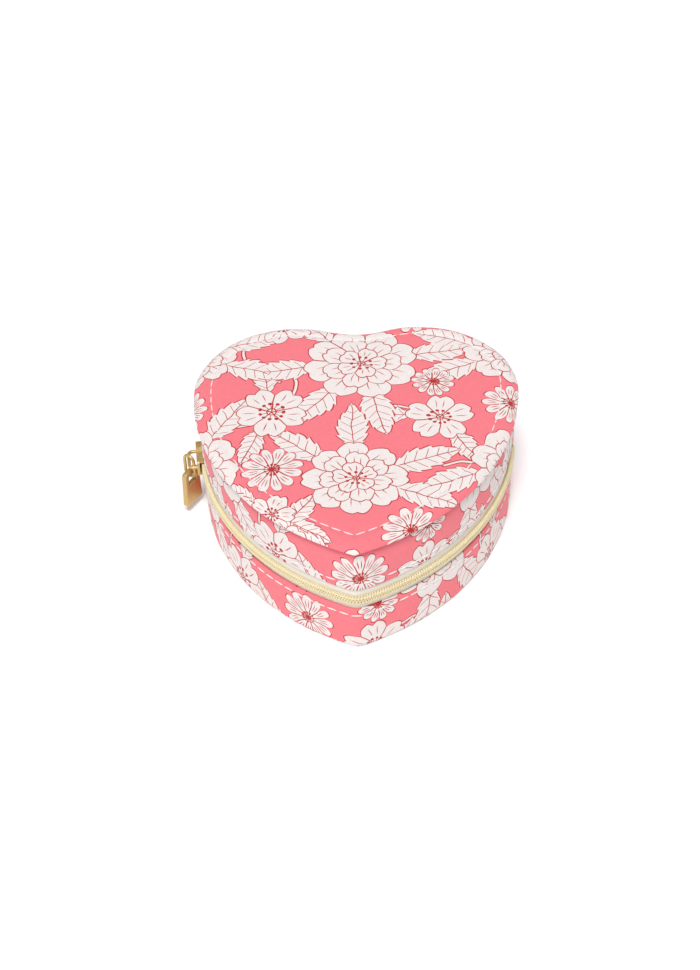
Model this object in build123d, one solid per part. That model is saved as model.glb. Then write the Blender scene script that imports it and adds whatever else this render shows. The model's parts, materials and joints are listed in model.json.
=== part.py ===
"""A heart-shaped, fabric-covered jewellery case that closes with a zip.

Millimetres. +Z is up, the tip of the heart points to -Y and the lid's hinge is at the back.
The origin is on the table, under the middle of the heart.
"""
from build123d import *
import os
from math import acos, atan2, cos, hypot, pi, radians, sin, sqrt

# Outline of the walls seen from above, as tangent arcs
CASE_WIDTH = 115.0          # across the widest point
LOBE_OFFSET = 23.0          # a lobe's centre, from the middle line
SIDE_RADIUS = 92.0          # long side, from the widest point to the tip
TIP_RADIUS = 6.0
CLEFT_RADIUS = 36.0         # hollow between the lobes
LEAST_TIP_RADIUS = 1.5      # rounding of the tip on lines far inside the outline

# Heights above the table
CASE_HEIGHT = 50.0
ZIP_HEIGHT = 23.5           # middle of the zip

# Layers of a wall, from the outside in
COVER = 0.8                 # printed cotton
TAPE = 0.7                  # zip tape, let into the wall board beside the zip
WALL_BOARD = 1.8            # board behind the tape
LINING = 0.8                # velvet

# Layers of the base, upwards, and of the lid, downwards
FLAT_BOARD = 2.0
FLOOR_PAD = 2.8             # velvet over a thin pad
LID_PAD = 2.4
LID_LIP = 0.8               # the lid's top panel stands out past its wall
LID_TIP_RADIUS = 2.0        # the top panel has a sharper tip than the walls
LID_EDGE_BREAK = 0.6        # the top edge is broken by this much
BOTTOM_INSET = 0.4          # the base cover is turned in under the wall

# Mirror glued inside the lid
MIRROR_INSET = 15.0
MIRROR_THICKNESS = 1.6

# Ring rolls and dividers in the base
ROLL_COUNT = 4
ROLL_WIDTH = 8.8
ROLL_HEIGHT = 10.6
ROLL_GAP = 0.5
ROLL_FOOT = 7.4             # flat underside
ROLL_SHOULDER = 5.6         # height where a roll is widest
REAR_GAP = 2.0              # from the lining in the cleft to the first roll
DIVIDER = 2.4
DIVIDER_HEIGHT = 11.0
INSIDE_CLEARANCE = 0.4      # between loose inner pieces and the lining

# Zip: two tapes, each with a row of coil teeth on its outer face
ZIP_GAP = 9.0               # between the edges of the lid's and the base's covers
TAPE_LAP = 5.5              # tape sewn behind the edge of each cover
TAPE_TAIL = 6.0             # tape beyond the widest point, behind the hinge strip
TAPE_SLIT = 0.3             # between the two tapes
TOOTH_PITCH = 2.9
TOOTH_LENGTH = 1.0          # along the zip
TOOTH_REACH = 0.5           # past the middle of the zip
COIL_DEPTH = 2.0            # out from the tape
TOOTH_SETBACK = 0.3         # a tooth is thinner than the coil's back by this much on each face
COIL_BACK = 1.0             # inner edge of the coil's back, from the middle of the zip
COIL_EDGE = 2.1             # its outer edge
CHAIN_END = 7.0             # last tooth on the right, from the widest point

# Stops
STOP_LENGTH = 2.2
STOP_HEIGHT = 1.2
STOP_WIDTH = 1.5
STOP_SETBACK = 0.3          # from the edge of the tape to a top stop
STOP_CLEARANCE = 0.2

# Slider
SLIDER_START = 10.0         # from the left widest point to the slider's middle
SLIDER_LENGTH = 12.0
SLIDER_PLATE = 1.1
SLIDER_FLANGE = 0.8
SLIDER_CLEARANCE = 0.4
SLIDER_MARGIN = 0.3         # between the slider's wide end and the covers' edges
SLIDER_ROUND = 1.2
WEDGE_WIDTH = 2.4           # post that parts the two halves
WEDGE_LENGTH = 4.4
BRIDGE_BAR = 1.3            # thickness of the square bar over the slider
BRIDGE_SPAN = 9.0

# Pull: a link on the bridge and a flat tab on the link
LINK_WIRE = 1.2
LINK_TWIST = 38.0           # degrees, how far the link hangs turned on the bar
LINK_PLAY = 0.1             # round the bars that the link holds
LINK_CLEARANCE = 0.25
TAB_THICKNESS = 2.0
TAB_LENGTH = 14.5           # below the link's lower bend
TAB_TOP_WIDTH = 8.0
TAB_BOTTOM_WIDTH = 9.6
TAB_CLEARANCE = 0.5         # from the slider's lower edge to the tab
TAB_BAR = 1.8               # height of the bar that goes through the link
TAB_WINDOW_WIDTH = 4.6
TAB_WINDOW_HEIGHT = 4.2
TAB_CORNER = 1.2

# Hinge strip round the back
STRIP_THICKNESS = 0.9
STRIP_LAP = 3.5             # sewn over the base cover
HINGE_GAP = 0.3             # below the lid's covers and lining

# Derived places
LOBE_RADIUS = CASE_WIDTH / 2 - LOBE_OFFSET
SIDE_CENTRE = SIDE_RADIUS - CASE_WIDTH / 2
CLEFT_RISE = sqrt((LOBE_RADIUS + CLEFT_RADIUS) ** 2 - LOBE_OFFSET ** 2)
TIP_DROP = sqrt((SIDE_RADIUS - TIP_RADIUS) ** 2 - SIDE_CENTRE ** 2)
LOBE_Y = (TIP_DROP + TIP_RADIUS - LOBE_RADIUS) / 2

TAPE_INSET = COVER + TAPE
LINING_INSET = TAPE_INSET + WALL_BOARD
INSIDE_INSET = LINING_INSET + LINING

BASE_BOARD_Z = COVER
WALL_Z = BASE_BOARD_Z + FLAT_BOARD
FLOOR_Z = WALL_Z + FLOOR_PAD
BASE_EDGE_Z = ZIP_HEIGHT - ZIP_GAP / 2
LID_EDGE_Z = ZIP_HEIGHT + ZIP_GAP / 2
LID_PAD_Z = CASE_HEIGHT - COVER - LID_PAD
LID_BOARD_Z = LID_PAD_Z - FLAT_BOARD
LID_LINING_Z = LID_BOARD_Z - LINING
TAPE_LOW_Z = BASE_EDGE_Z - TAPE_LAP
TAPE_HIGH_Z = LID_EDGE_Z + TAPE_LAP

TAPE_SIDE_RADIUS = SIDE_RADIUS - COVER
TAPE_TIP_RADIUS = TIP_RADIUS - COVER
SIDE_TURN = acos(SIDE_CENTRE / (SIDE_RADIUS - TIP_RADIUS))
SIDE_LENGTH = TAPE_SIDE_RADIUS * SIDE_TURN
TIP_LENGTH = TAPE_TIP_RADIUS * (pi - 2 * SIDE_TURN)
CHAIN_LENGTH = 2 * SIDE_LENGTH + TIP_LENGTH

SLIDER_NOSE = 2 * (COIL_EDGE + SLIDER_CLEARANCE + SLIDER_FLANGE)
SLIDER_TAIL = ZIP_GAP - 2 * SLIDER_MARGIN
PLATE_Z = COIL_DEPTH + SLIDER_CLEARANCE
TAB_HEAD = TAB_BAR / 2
BRIDGE_CORNER = hypot(BRIDGE_BAR / 2, BRIDGE_BAR / 2 / cos(radians(LINK_TWIST)))
LINK_INNER_RADIUS = max(BRIDGE_CORNER, hypot(TAB_BAR / 2, TAB_THICKNESS / 2)) + LINK_PLAY
LINK_OUTER_RADIUS = LINK_INNER_RADIUS + LINK_WIRE
LINK_LENGTH = SLIDER_TAIL / 2 + TAB_HEAD + TAB_CLEARANCE
BRIDGE_AXIS = PLATE_Z + SLIDER_PLATE + LINK_CLEARANCE + LINK_OUTER_RADIUS
BEYOND = 4 * CASE_WIDTH


def polar(centre_x, centre_y, radius, angle):
    return (centre_x + radius * cos(angle), centre_y + radius * sin(angle))


def mirrored(point):
    return (-point[0], point[1])


def heart(inset=0.0, tip=None):
    """The outline moved inwards by inset, with a tip radius of its own where one is given."""
    tip = max(TIP_RADIUS - inset, LEAST_TIP_RADIUS) if tip is None else tip
    side = SIDE_RADIUS - inset
    cleft_turn = atan2(CLEFT_RISE, -LOBE_OFFSET)
    tip_drop = sqrt((side - tip) ** 2 - SIDE_CENTRE ** 2)
    tip_turn = -acos(SIDE_CENTRE / (side - tip))
    lobe = LOBE_RADIUS - inset
    cleft_point = (0, LOBE_Y + CLEFT_RISE - CLEFT_RADIUS - inset)
    shoulder = polar(LOBE_OFFSET, LOBE_Y, lobe, cleft_turn)
    lobe_middle = polar(LOBE_OFFSET, LOBE_Y, lobe, cleft_turn / 2)
    widest = (LOBE_OFFSET + lobe, LOBE_Y)
    side_middle = polar(-SIDE_CENTRE, LOBE_Y, side, tip_turn / 2)
    side_end = polar(-SIDE_CENTRE, LOBE_Y, side, tip_turn)
    tip_point = (0, LOBE_Y - tip_drop - tip)
    return make_face([
        ThreePointArc(mirrored(shoulder), cleft_point, shoulder),
        ThreePointArc(shoulder, lobe_middle, widest),
        ThreePointArc(widest, side_middle, side_end),
        ThreePointArc(side_end, tip_point, mirrored(side_end)),
        ThreePointArc(mirrored(side_end), mirrored(side_middle), mirrored(widest)),
        ThreePointArc(mirrored(widest), mirrored(lobe_middle), mirrored(shoulder)),
    ])


def raised(face, low, high):
    return extrude(Pos(0, 0, low) * face, amount=high - low, dir=(0, 0, 1))


def plate(inset, low, high, tip=None):
    return raised(heart(inset, tip), low, high)


def band(outer, inner, low, high):
    """A wall that follows the outline, between two insets."""
    return raised(heart(outer) - heart(inner), low, high)


def block(x_low, x_high, y_low, y_high, z_low, z_high):
    corner = (Align.MIN, Align.MIN, Align.MIN)
    return Pos(x_low, y_low, z_low) * Box(x_high - x_low, y_high - y_low, z_high - z_low, align=corner)


def in_front_of(y):
    return block(-BEYOND, BEYOND, -BEYOND, y, -BEYOND, BEYOND)


def behind(y):
    return block(-BEYOND, BEYOND, y, BEYOND, -BEYOND, BEYOND)


def chain_plane(travel):
    """A plane on the tape's outer face, travel mm from the left widest point towards the tip and on.

    Local x runs along the zip, local y is up and local z is out of the case.
    """
    if travel <= SIDE_LENGTH:
        turn, centre, radius = travel / TAPE_SIDE_RADIUS, (SIDE_CENTRE, LOBE_Y), TAPE_SIDE_RADIUS
    elif travel <= SIDE_LENGTH + TIP_LENGTH:
        turn = SIDE_TURN + (travel - SIDE_LENGTH) / TAPE_TIP_RADIUS
        centre, radius = (0, LOBE_Y - TIP_DROP), TAPE_TIP_RADIUS
    else:
        turn = pi - (CHAIN_LENGTH - travel) / TAPE_SIDE_RADIUS
        centre, radius = (-SIDE_CENTRE, LOBE_Y), TAPE_SIDE_RADIUS
    outward = (-cos(turn), -sin(turn), 0)
    origin = (centre[0] + radius * outward[0], centre[1] + radius * outward[1], ZIP_HEIGHT)
    return Plane(origin=origin, x_dir=(sin(turn), -cos(turn), 0), z_dir=outward)


SLIDER_PLANE = chain_plane(SLIDER_START)
parts = {}

# The tape is let into both wall boards
tape_end_y = LOBE_Y + TAPE_TAIL
tape_room = band(COVER, TAPE_INSET, TAPE_LOW_Z, TAPE_HIGH_Z) & in_front_of(tape_end_y)

# Base: covers, boards, floor pad and lining
parts["base_bottom_cover"] = plate(BOTTOM_INSET, 0, COVER)
parts["base_board"] = plate(COVER, BASE_BOARD_Z, WALL_Z)
parts["base_wall_cover"] = band(0, COVER, COVER, BASE_EDGE_Z)
parts["base_wall_board"] = band(COVER, LINING_INSET, WALL_Z, BASE_EDGE_Z) - tape_room
parts["base_wall_lining"] = band(LINING_INSET, INSIDE_INSET, FLOOR_Z, BASE_EDGE_Z)
parts["base_floor_pad"] = plate(LINING_INSET, WALL_Z, FLOOR_Z)

# Lid: the top panel is a padded cap over the walls
cap = plate(-LID_LIP, LID_PAD_Z, CASE_HEIGHT, LID_TIP_RADIUS)
cap = chamfer(cap.edges().group_by(Axis.Z)[-1], LID_EDGE_BREAK)
cap_tip_inside = LID_TIP_RADIUS - COVER
lid_pad = plate(COVER - LID_LIP, LID_PAD_Z, CASE_HEIGHT - COVER, cap_tip_inside)
parts["lid_top_cover"] = cap - lid_pad
parts["lid_top_pad"] = lid_pad
parts["lid_board"] = plate(COVER, LID_BOARD_Z, LID_PAD_Z)
parts["lid_wall_cover"] = band(0, COVER, LID_EDGE_Z, LID_PAD_Z)
parts["lid_wall_board"] = band(COVER, LINING_INSET, LID_EDGE_Z, LID_BOARD_Z) - tape_room
parts["lid_lining"] = (
    plate(LINING_INSET, LID_LINING_Z, LID_BOARD_Z)
    + band(LINING_INSET, INSIDE_INSET, LID_EDGE_Z, LID_LINING_Z)
)
mirror_low = LID_LINING_Z - MIRROR_THICKNESS
parts["mirror"] = plate(MIRROR_INSET, mirror_low, LID_LINING_Z)


def roll_profile():
    """Section of a ring roll: flat underneath, bulging sides and a round crown."""
    foot, wide = ROLL_FOOT / 2, ROLL_WIDTH / 2
    lean = (foot + wide) / 2 + (wide - foot) / 4
    left_low, left_wide = (-foot, 0), (-wide, ROLL_SHOULDER)
    right_low, right_wide = (foot, 0), (wide, ROLL_SHOULDER)
    crown_side = (wide * cos(radians(45)), ROLL_SHOULDER + (ROLL_HEIGHT - ROLL_SHOULDER) * sin(radians(45)))
    crown = (0, ROLL_HEIGHT)
    return make_face([
        Line(left_low, right_low),
        ThreePointArc(right_low, (lean, ROLL_SHOULDER / 2), right_wide),
        ThreePointArc(right_wide, crown_side, crown),
        ThreePointArc(crown, mirrored(crown_side), left_wide),
        ThreePointArc(left_wide, (-lean, ROLL_SHOULDER / 2), left_low),
    ])


# Ring rolls lie across the back of the base, side by side
inside = plate(INSIDE_INSET + INSIDE_CLEARANCE, FLOOR_Z, CASE_HEIGHT)
cleft_inside_y = LOBE_Y + CLEFT_RISE - CLEFT_RADIUS - INSIDE_INSET
roll_pitch = ROLL_WIDTH + ROLL_GAP
roll_y = cleft_inside_y - REAR_GAP - ROLL_WIDTH / 2
for number in range(1, ROLL_COUNT + 1):
    roll_plane = Plane(origin=(-CASE_WIDTH, roll_y, FLOOR_Z), x_dir=(0, 1, 0), z_dir=(1, 0, 0))
    roll = extrude(roll_plane * roll_profile(), amount=2 * CASE_WIDTH, dir=(1, 0, 0))
    parts[f"ring_roll_{number}"] = roll & inside
    roll_y -= roll_pitch


def divider(x_low, x_high, y_low, y_high, edges_along):
    """A velvet-covered board standing on the floor, with a rounded top edge."""
    board = block(x_low, x_high, y_low, y_high, FLOOR_Z, FLOOR_Z + DIVIDER_HEIGHT)
    top = board.edges().filter_by(edges_along).group_by(Axis.Z)[-1]
    return fillet(top, DIVIDER * 0.4) & inside


# A divider in front of the rolls, and one from it to the tip
cross_high = roll_y + roll_pitch - ROLL_WIDTH / 2 - ROLL_GAP
cross_low = cross_high - DIVIDER
parts["cross_divider"] = divider(-CASE_WIDTH, CASE_WIDTH, cross_low, cross_high, Axis.X)
parts["tip_divider"] = divider(-DIVIDER / 2, DIVIDER / 2, -2 * CASE_WIDTH, cross_low, Axis.Y)

# Zip tapes, spread apart at the left end where the slider's wedge stands between them
wedge_tail = -SLIDER_LENGTH / 2
wedge_room = SLIDER_PLANE * block(
    -BEYOND / 8, wedge_tail + WEDGE_LENGTH + SLIDER_CLEARANCE,
    -WEDGE_WIDTH / 2 - SLIDER_CLEARANCE, WEDGE_WIDTH / 2 + SLIDER_CLEARANCE, -TAPE * 4, TAPE * 4,
)
tape_zone = in_front_of(tape_end_y)
lower_tape = band(COVER, TAPE_INSET, TAPE_LOW_Z, ZIP_HEIGHT - TAPE_SLIT / 2) & tape_zone
upper_tape = band(COVER, TAPE_INSET, ZIP_HEIGHT + TAPE_SLIT / 2, TAPE_HIGH_Z) & tape_zone
parts["zip_tape_lower"] = lower_tape - wedge_room
parts["zip_tape_upper"] = upper_tape - wedge_room


def teeth(up, first, last):
    """One half of the coil: its back along the tape, and the teeth that reach past the middle."""
    low, high = sorted((up * COIL_BACK, up * COIL_EDGE))
    back = band(COVER - COIL_DEPTH, COVER, ZIP_HEIGHT + low, ZIP_HEIGHT + high)
    start, stop = chain_plane(first), chain_plane(last)
    keep = in_front_of(LOBE_Y)
    keep -= start * block(-BEYOND / 8, 0, -COIL_EDGE * 2, COIL_EDGE * 2, -COIL_DEPTH * 2, COIL_DEPTH * 2)
    keep -= stop * block(0, BEYOND / 8, -COIL_EDGE * 2, COIL_EDGE * 2, -COIL_DEPTH * 2, COIL_DEPTH * 2)
    bottom, top = sorted((-up * TOOTH_REACH, up * (COIL_BACK + COIL_EDGE) / 2))
    tooth = block(0, TOOTH_LENGTH, bottom, top, TOOTH_SETBACK, COIL_DEPTH - TOOTH_SETBACK)
    shift = 0 if up > 0 else TOOTH_PITCH / 2
    count = int((last - first - shift - TOOTH_LENGTH) / TOOTH_PITCH) + 1
    places = [first + shift + number * TOOTH_PITCH for number in range(count)]
    return (back & keep).fuse(*[chain_plane(place) * tooth for place in places])


chain_last = CHAIN_LENGTH - CHAIN_END
parts["zip_teeth_upper"] = teeth(1, SLIDER_START, chain_last)
parts["zip_teeth_lower"] = teeth(-1, SLIDER_START, chain_last)

# Top stops on the tape ends behind the slider, and a bottom stop over the other end of the chain
stop_x = wedge_tail - STOP_LENGTH - SLIDER_CLEARANCE
stop_y = WEDGE_WIDTH / 2 + SLIDER_CLEARANCE + STOP_SETBACK
top_stop = block(stop_x, stop_x + STOP_LENGTH, stop_y, stop_y + STOP_WIDTH, 0, COVER)
parts["zip_top_stop_upper"] = SLIDER_PLANE * top_stop
parts["zip_top_stop_lower"] = SLIDER_PLANE * mirror(top_stop, about=Plane.XZ)
stop_plane = chain_plane(chain_last + STOP_CLEARANCE)
parts["zip_bottom_stop"] = stop_plane * (
    block(0, STOP_LENGTH, -COIL_EDGE, COIL_EDGE, STOP_CLEARANCE, STOP_CLEARANCE + STOP_HEIGHT)
    + block(0, STOP_LENGTH, -COIL_EDGE, -TAPE_SLIT, 0, STOP_CLEARANCE)
)

# Slider, in its own plane: two plates, flanges round the coil and a wedge between the plates
nose, tail = SLIDER_LENGTH / 2, -SLIDER_LENGTH / 2
shoulder_x = tail + SLIDER_LENGTH / 3
outline = make_face(Polyline(
    (nose, -SLIDER_NOSE / 2), (nose, SLIDER_NOSE / 2), (0, SLIDER_NOSE / 2),
    (shoulder_x, SLIDER_TAIL / 2), (tail, SLIDER_TAIL / 2),
    (tail, -SLIDER_TAIL / 2), (shoulder_x, -SLIDER_TAIL / 2), (0, -SLIDER_NOSE / 2), close=True,
))
outline = fillet(outline.vertices(), SLIDER_ROUND)
channel = offset(outline, amount=-SLIDER_FLANGE)
inner_plate_top = -TAPE - SLIDER_CLEARANCE
outer_plate = raised(outline, PLATE_Z, PLATE_Z + SLIDER_PLATE)
flanges = raised(outline, SLIDER_CLEARANCE, PLATE_Z) - raised(channel, 0, PLATE_Z)
flanges -= block(-BEYOND, BEYOND, -COIL_EDGE - SLIDER_CLEARANCE, COIL_EDGE + SLIDER_CLEARANCE, 0, PLATE_Z)
inner_plate = raised(outline, inner_plate_top - SLIDER_PLATE, inner_plate_top)
wedge = raised(make_face(Polyline(
    (tail, -WEDGE_WIDTH / 2), (tail + WEDGE_LENGTH / 2, -WEDGE_WIDTH / 2), (tail + WEDGE_LENGTH, 0),
    (tail + WEDGE_LENGTH / 2, WEDGE_WIDTH / 2), (tail, WEDGE_WIDTH / 2), close=True,
)), inner_plate_top, PLATE_Z)
parts["slider_body"] = SLIDER_PLANE * (outer_plate + flanges + inner_plate + wedge)

# Bridge over the outer plate: a square bar bent down to it at both ends
bridge_rise = BRIDGE_AXIS - PLATE_Z - SLIDER_PLATE
bridge_plane = Plane(origin=(0, 0, PLATE_Z + SLIDER_PLATE), x_dir=(1, 0, 0), z_dir=(0, -1, 0))


def bridge_arch(half_span, height, bend):
    """Side view of a bar's outer or inner edge, bent down to the plate at both ends."""
    side = make_face(Polyline(
        (-half_span, 0), (-half_span, height), (half_span, height), (half_span, 0), close=True))
    return fillet(side.vertices().group_by(Axis.Y)[-1], bend)


bridge_bend = bridge_rise / 2
bridge_side = (
    bridge_arch((BRIDGE_SPAN + BRIDGE_BAR) / 2, bridge_rise + BRIDGE_BAR / 2, bridge_bend + BRIDGE_BAR / 2)
    - bridge_arch((BRIDGE_SPAN - BRIDGE_BAR) / 2, bridge_rise - BRIDGE_BAR / 2, bridge_bend - BRIDGE_BAR / 2)
)
bridge = extrude(bridge_plane * bridge_side, amount=BRIDGE_BAR / 2, both=True)
parts["slider_bridge"] = SLIDER_PLANE * bridge

# Link and tab hang from the bar, in a plane turned by LINK_TWIST about the vertical.
# In that plane x is the pivots' direction, y is up and z is out from the case.
along, outward = SLIDER_PLANE.x_dir, SLIDER_PLANE.z_dir
twist_cos, twist_sin = cos(radians(LINK_TWIST)), sin(radians(LINK_TWIST))
PULL_PLANE = Plane(
    origin=SLIDER_PLANE.origin + outward * BRIDGE_AXIS,
    x_dir=along * twist_cos + outward * twist_sin, z_dir=outward * twist_cos - along * twist_sin,
)
link_plane = Plane(origin=(0, -LINK_LENGTH / 2, 0), x_dir=(0, 1, 0), z_dir=(1, 0, 0))
link_side = (
    SlotCenterToCenter(LINK_LENGTH, 2 * LINK_OUTER_RADIUS) - SlotCenterToCenter(LINK_LENGTH, 2 * LINK_INNER_RADIUS)
)
parts["pull_link"] = PULL_PLANE * extrude(link_plane * link_side, amount=LINK_WIRE / 2, both=True)

tab_outline = make_face(Polyline(
    (-TAB_TOP_WIDTH / 2, TAB_HEAD), (TAB_TOP_WIDTH / 2, TAB_HEAD),
    (TAB_BOTTOM_WIDTH / 2, -TAB_LENGTH), (-TAB_BOTTOM_WIDTH / 2, -TAB_LENGTH), close=True,
))
tab_outline = fillet(tab_outline.vertices(), TAB_CORNER)
window_top = TAB_HEAD - TAB_BAR
window = Pos(0, window_top - TAB_WINDOW_HEIGHT / 2) * RectangleRounded(
    TAB_WINDOW_WIDTH, TAB_WINDOW_HEIGHT, TAB_CORNER / 2)
tab = raised(tab_outline - window, -TAB_THICKNESS / 2, TAB_THICKNESS / 2)
parts["pull_tab"] = PULL_PLANE * (Pos(0, -LINK_LENGTH, 0) * tab)

# Hinge strip over the gap round the back, and the lining behind it
strip_low, strip_high = BASE_EDGE_Z - STRIP_LAP, LID_EDGE_Z - HINGE_GAP
parts["hinge_strip"] = band(-STRIP_THICKNESS, 0, strip_low, strip_high) & behind(LOBE_Y)
parts["hinge_lining"] = band(LINING_INSET, INSIDE_INSET, BASE_EDGE_Z, strip_high) & behind(LOBE_Y)

os.makedirs("parts", exist_ok=True)
for name, solid in parts.items():
    export_step(solid, f"parts/{name}.step")
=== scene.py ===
"""Looks of a heart-shaped, fabric-covered jewellery case that closes with a zip.

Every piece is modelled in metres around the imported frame, in the frame's own axes:
+Z is up, the tip of the heart points to -Y and the lid's hinge is at the back.
"""

import json
from collections import namedtuple
from math import acos, asin, atan2, ceil, cos, pi, radians, sin, sqrt

import bmesh
import bpy
from mathutils import Matrix, Vector, noise
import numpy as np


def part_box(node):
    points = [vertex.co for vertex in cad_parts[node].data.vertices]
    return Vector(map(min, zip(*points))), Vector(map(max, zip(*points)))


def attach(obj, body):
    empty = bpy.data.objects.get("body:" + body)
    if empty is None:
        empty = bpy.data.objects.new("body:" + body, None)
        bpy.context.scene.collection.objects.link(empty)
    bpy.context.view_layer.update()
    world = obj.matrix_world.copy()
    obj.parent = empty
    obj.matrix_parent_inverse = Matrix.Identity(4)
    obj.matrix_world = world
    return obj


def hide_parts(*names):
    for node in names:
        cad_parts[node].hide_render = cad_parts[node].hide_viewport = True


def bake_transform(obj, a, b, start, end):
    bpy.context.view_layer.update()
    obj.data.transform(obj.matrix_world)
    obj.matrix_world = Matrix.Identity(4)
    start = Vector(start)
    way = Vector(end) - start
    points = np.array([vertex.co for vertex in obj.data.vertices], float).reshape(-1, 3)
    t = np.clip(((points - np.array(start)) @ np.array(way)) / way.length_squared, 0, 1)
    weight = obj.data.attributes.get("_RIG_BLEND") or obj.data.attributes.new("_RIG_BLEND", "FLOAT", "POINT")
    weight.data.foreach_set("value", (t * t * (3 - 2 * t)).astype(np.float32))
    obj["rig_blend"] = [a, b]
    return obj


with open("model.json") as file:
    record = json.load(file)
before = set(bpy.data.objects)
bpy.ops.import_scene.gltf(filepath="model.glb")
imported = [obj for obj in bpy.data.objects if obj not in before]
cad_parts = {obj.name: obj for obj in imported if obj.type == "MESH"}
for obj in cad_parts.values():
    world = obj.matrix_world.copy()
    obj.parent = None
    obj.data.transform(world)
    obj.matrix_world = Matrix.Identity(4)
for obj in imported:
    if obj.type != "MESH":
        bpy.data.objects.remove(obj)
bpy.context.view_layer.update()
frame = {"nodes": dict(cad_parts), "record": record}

bl_info = {
    "name": "Heart jewellery case",
    "version": (1, 0, 0),
    "blender": (4, 5, 0),
    "location": "View3D > Sidebar > Case",
    "description": "Builds the cloth, zip, pull and inside of a heart-shaped jewellery case",
    "category": "Add Mesh",
}

MM = 0.001
TAU = 2 * pi
UP = Vector((0, 0, 1))
ARC_COUNT = 7               # arcs in the outline, clockwise from the cleft
RIGHT_WIDEST = 2            # place where the right lobe ends and the right side begins
LEFT_WIDEST = 5             # place where the left side ends and the left lobe begins
TIP = 3.5                   # place of the heart's tip
ROW = 0.8 * MM              # height of one row of mesh on the walls and the tapes
MERGE = 1e-7                # points closer than this are one
JOINTS = {joint["name"]: joint for joint in frame["record"]["behaviour"]["joints"]}


# Sizes and colours that a user can change

def linear(red, green, blue):
    """A screen colour, 0 to 255, as linear light."""
    values = [value / 255 for value in (red, green, blue)]
    return tuple(v / 12.92 if v <= 0.04045 else ((v + 0.055) / 1.055) ** 2.4 for v in values)


def length(name, description, millimetres):
    """A property for a length."""
    return bpy.props.FloatProperty(
        name=name, description=description, default=millimetres * MM, min=0, unit="LENGTH", precision=5)


def angle(name, description, degrees):
    """A property for an angle."""
    return bpy.props.FloatProperty(
        name=name, description=description, default=radians(degrees), subtype="ANGLE")


def amount(name, description, default):
    """A property for a plain number."""
    return bpy.props.FloatProperty(name=name, description=description, default=default, min=0)


def colour(name, description, red, green, blue):
    """A property for a colour."""
    return bpy.props.FloatVectorProperty(
        name=name, description=description, default=linear(red, green, blue), size=3, min=0, max=1,
        subtype="COLOR")


class CaseSizes(bpy.types.PropertyGroup):
    """Sizes of the case and its sewing"""
    lobe_offset: length("Lobe offset", "From the middle line to a lobe's centre", 23.0)
    side_radius: length("Side radius", "Radius of the long sides", 92.0)
    tip_radius: length("Tip radius", "Rounding of the walls' tip", 6.0)
    cleft_radius: length("Cleft radius", "Radius of the hollow between the lobes", 36.0)
    lid_tip_radius: length("Lid tip radius", "Rounding of the tip of the lid's top", 0.6)
    cloth: length("Cloth", "Thickness of the printed cloth", 0.8)
    segment: length("Segment", "Length of one mesh step round the outline", 1.0)
    crown: length("Crown", "Rise of the padded top's middle", 0.7)
    stitch_length: length("Stitch length", "Length of one stitch", 4.0)
    stitch_gap: length("Stitch gap", "Cloth between two stitches", 0.6)
    thread: length("Thread", "Thickness of the sewing thread", 0.5)
    top_stitch_inset: length("Top stitch inset", "From the wall's outline to the stitches on the top", 4.6)
    wall_stitch_offset: length("Wall stitch offset", "From the zip's edge of a wall to its stitches", 3.0)
    coil_pitch: length("Coil pitch", "From one turn of the zip's coil to the next", 1.0)
    coil_wire: length("Coil wire", "Thickness of the coil's wire", 0.88)


class CaseColours(bpy.types.PropertyGroup):
    """Colours of the cloths, the zip and the metal"""
    ground: colour("Print ground", "Ground of the printed cotton", 252, 130, 140)
    motif: colour("Print motif", "Flowers and leaves of the print", 246, 236, 233)
    outline: colour("Print outline", "Drawn lines of the print", 188, 14, 16)
    thread: colour("Thread", "Topstitching", 252, 248, 246)
    tape: colour("Zip tape", "Woven tape beside the coil", 252, 246, 234)
    coil: colour("Zip coil", "Nylon coil", 244, 229, 184)
    velvet: colour("Velvet", "Lining, rolls and dividers", 240, 205, 200)
    board: colour("Board", "Grey board inside the walls", 176, 166, 150)
    gold: colour("Gold", "Slider, pull and stops", 222, 193, 130)


class CaseStage(bpy.types.PropertyGroup):
    """Floor, light and camera"""
    azimuth: angle("Azimuth", "Camera's turn round the case", 1.73)
    elevation: angle("Elevation", "Camera's height over the horizon", 41.92)
    roll: angle("Roll", "Camera's tilt", -1.9)
    distance: length("Distance", "From the camera to the case", 700.0)
    target: bpy.props.FloatVectorProperty(
        name="Target", description="Where the camera looks", default=(-2.5 * MM, -2.3 * MM, 25 * MM),
        size=3, subtype="TRANSLATION")
    lens: amount("Lens", "Focal length in mm", 71.4)
    floor: colour("Floor", "Pale floor", 255, 255, 255)
    glow: amount("Floor glow", "Light that the floor gives", 0.06)
    sky: amount("Sky", "Soft light from all round", 0.29)
    key: amount("Key light", "Strength of the soft light in front", 2.22)
    glint: amount("Glint", "Power of the lamps at the sides", 0.8)


def sizes():
    """The sizes in use."""
    return bpy.context.scene.case_sizes


def colours():
    """The colours in use."""
    return bpy.context.scene.case_colours


# Outline of the heart

Arc = namedtuple("Arc", "centre turn radius")


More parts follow.
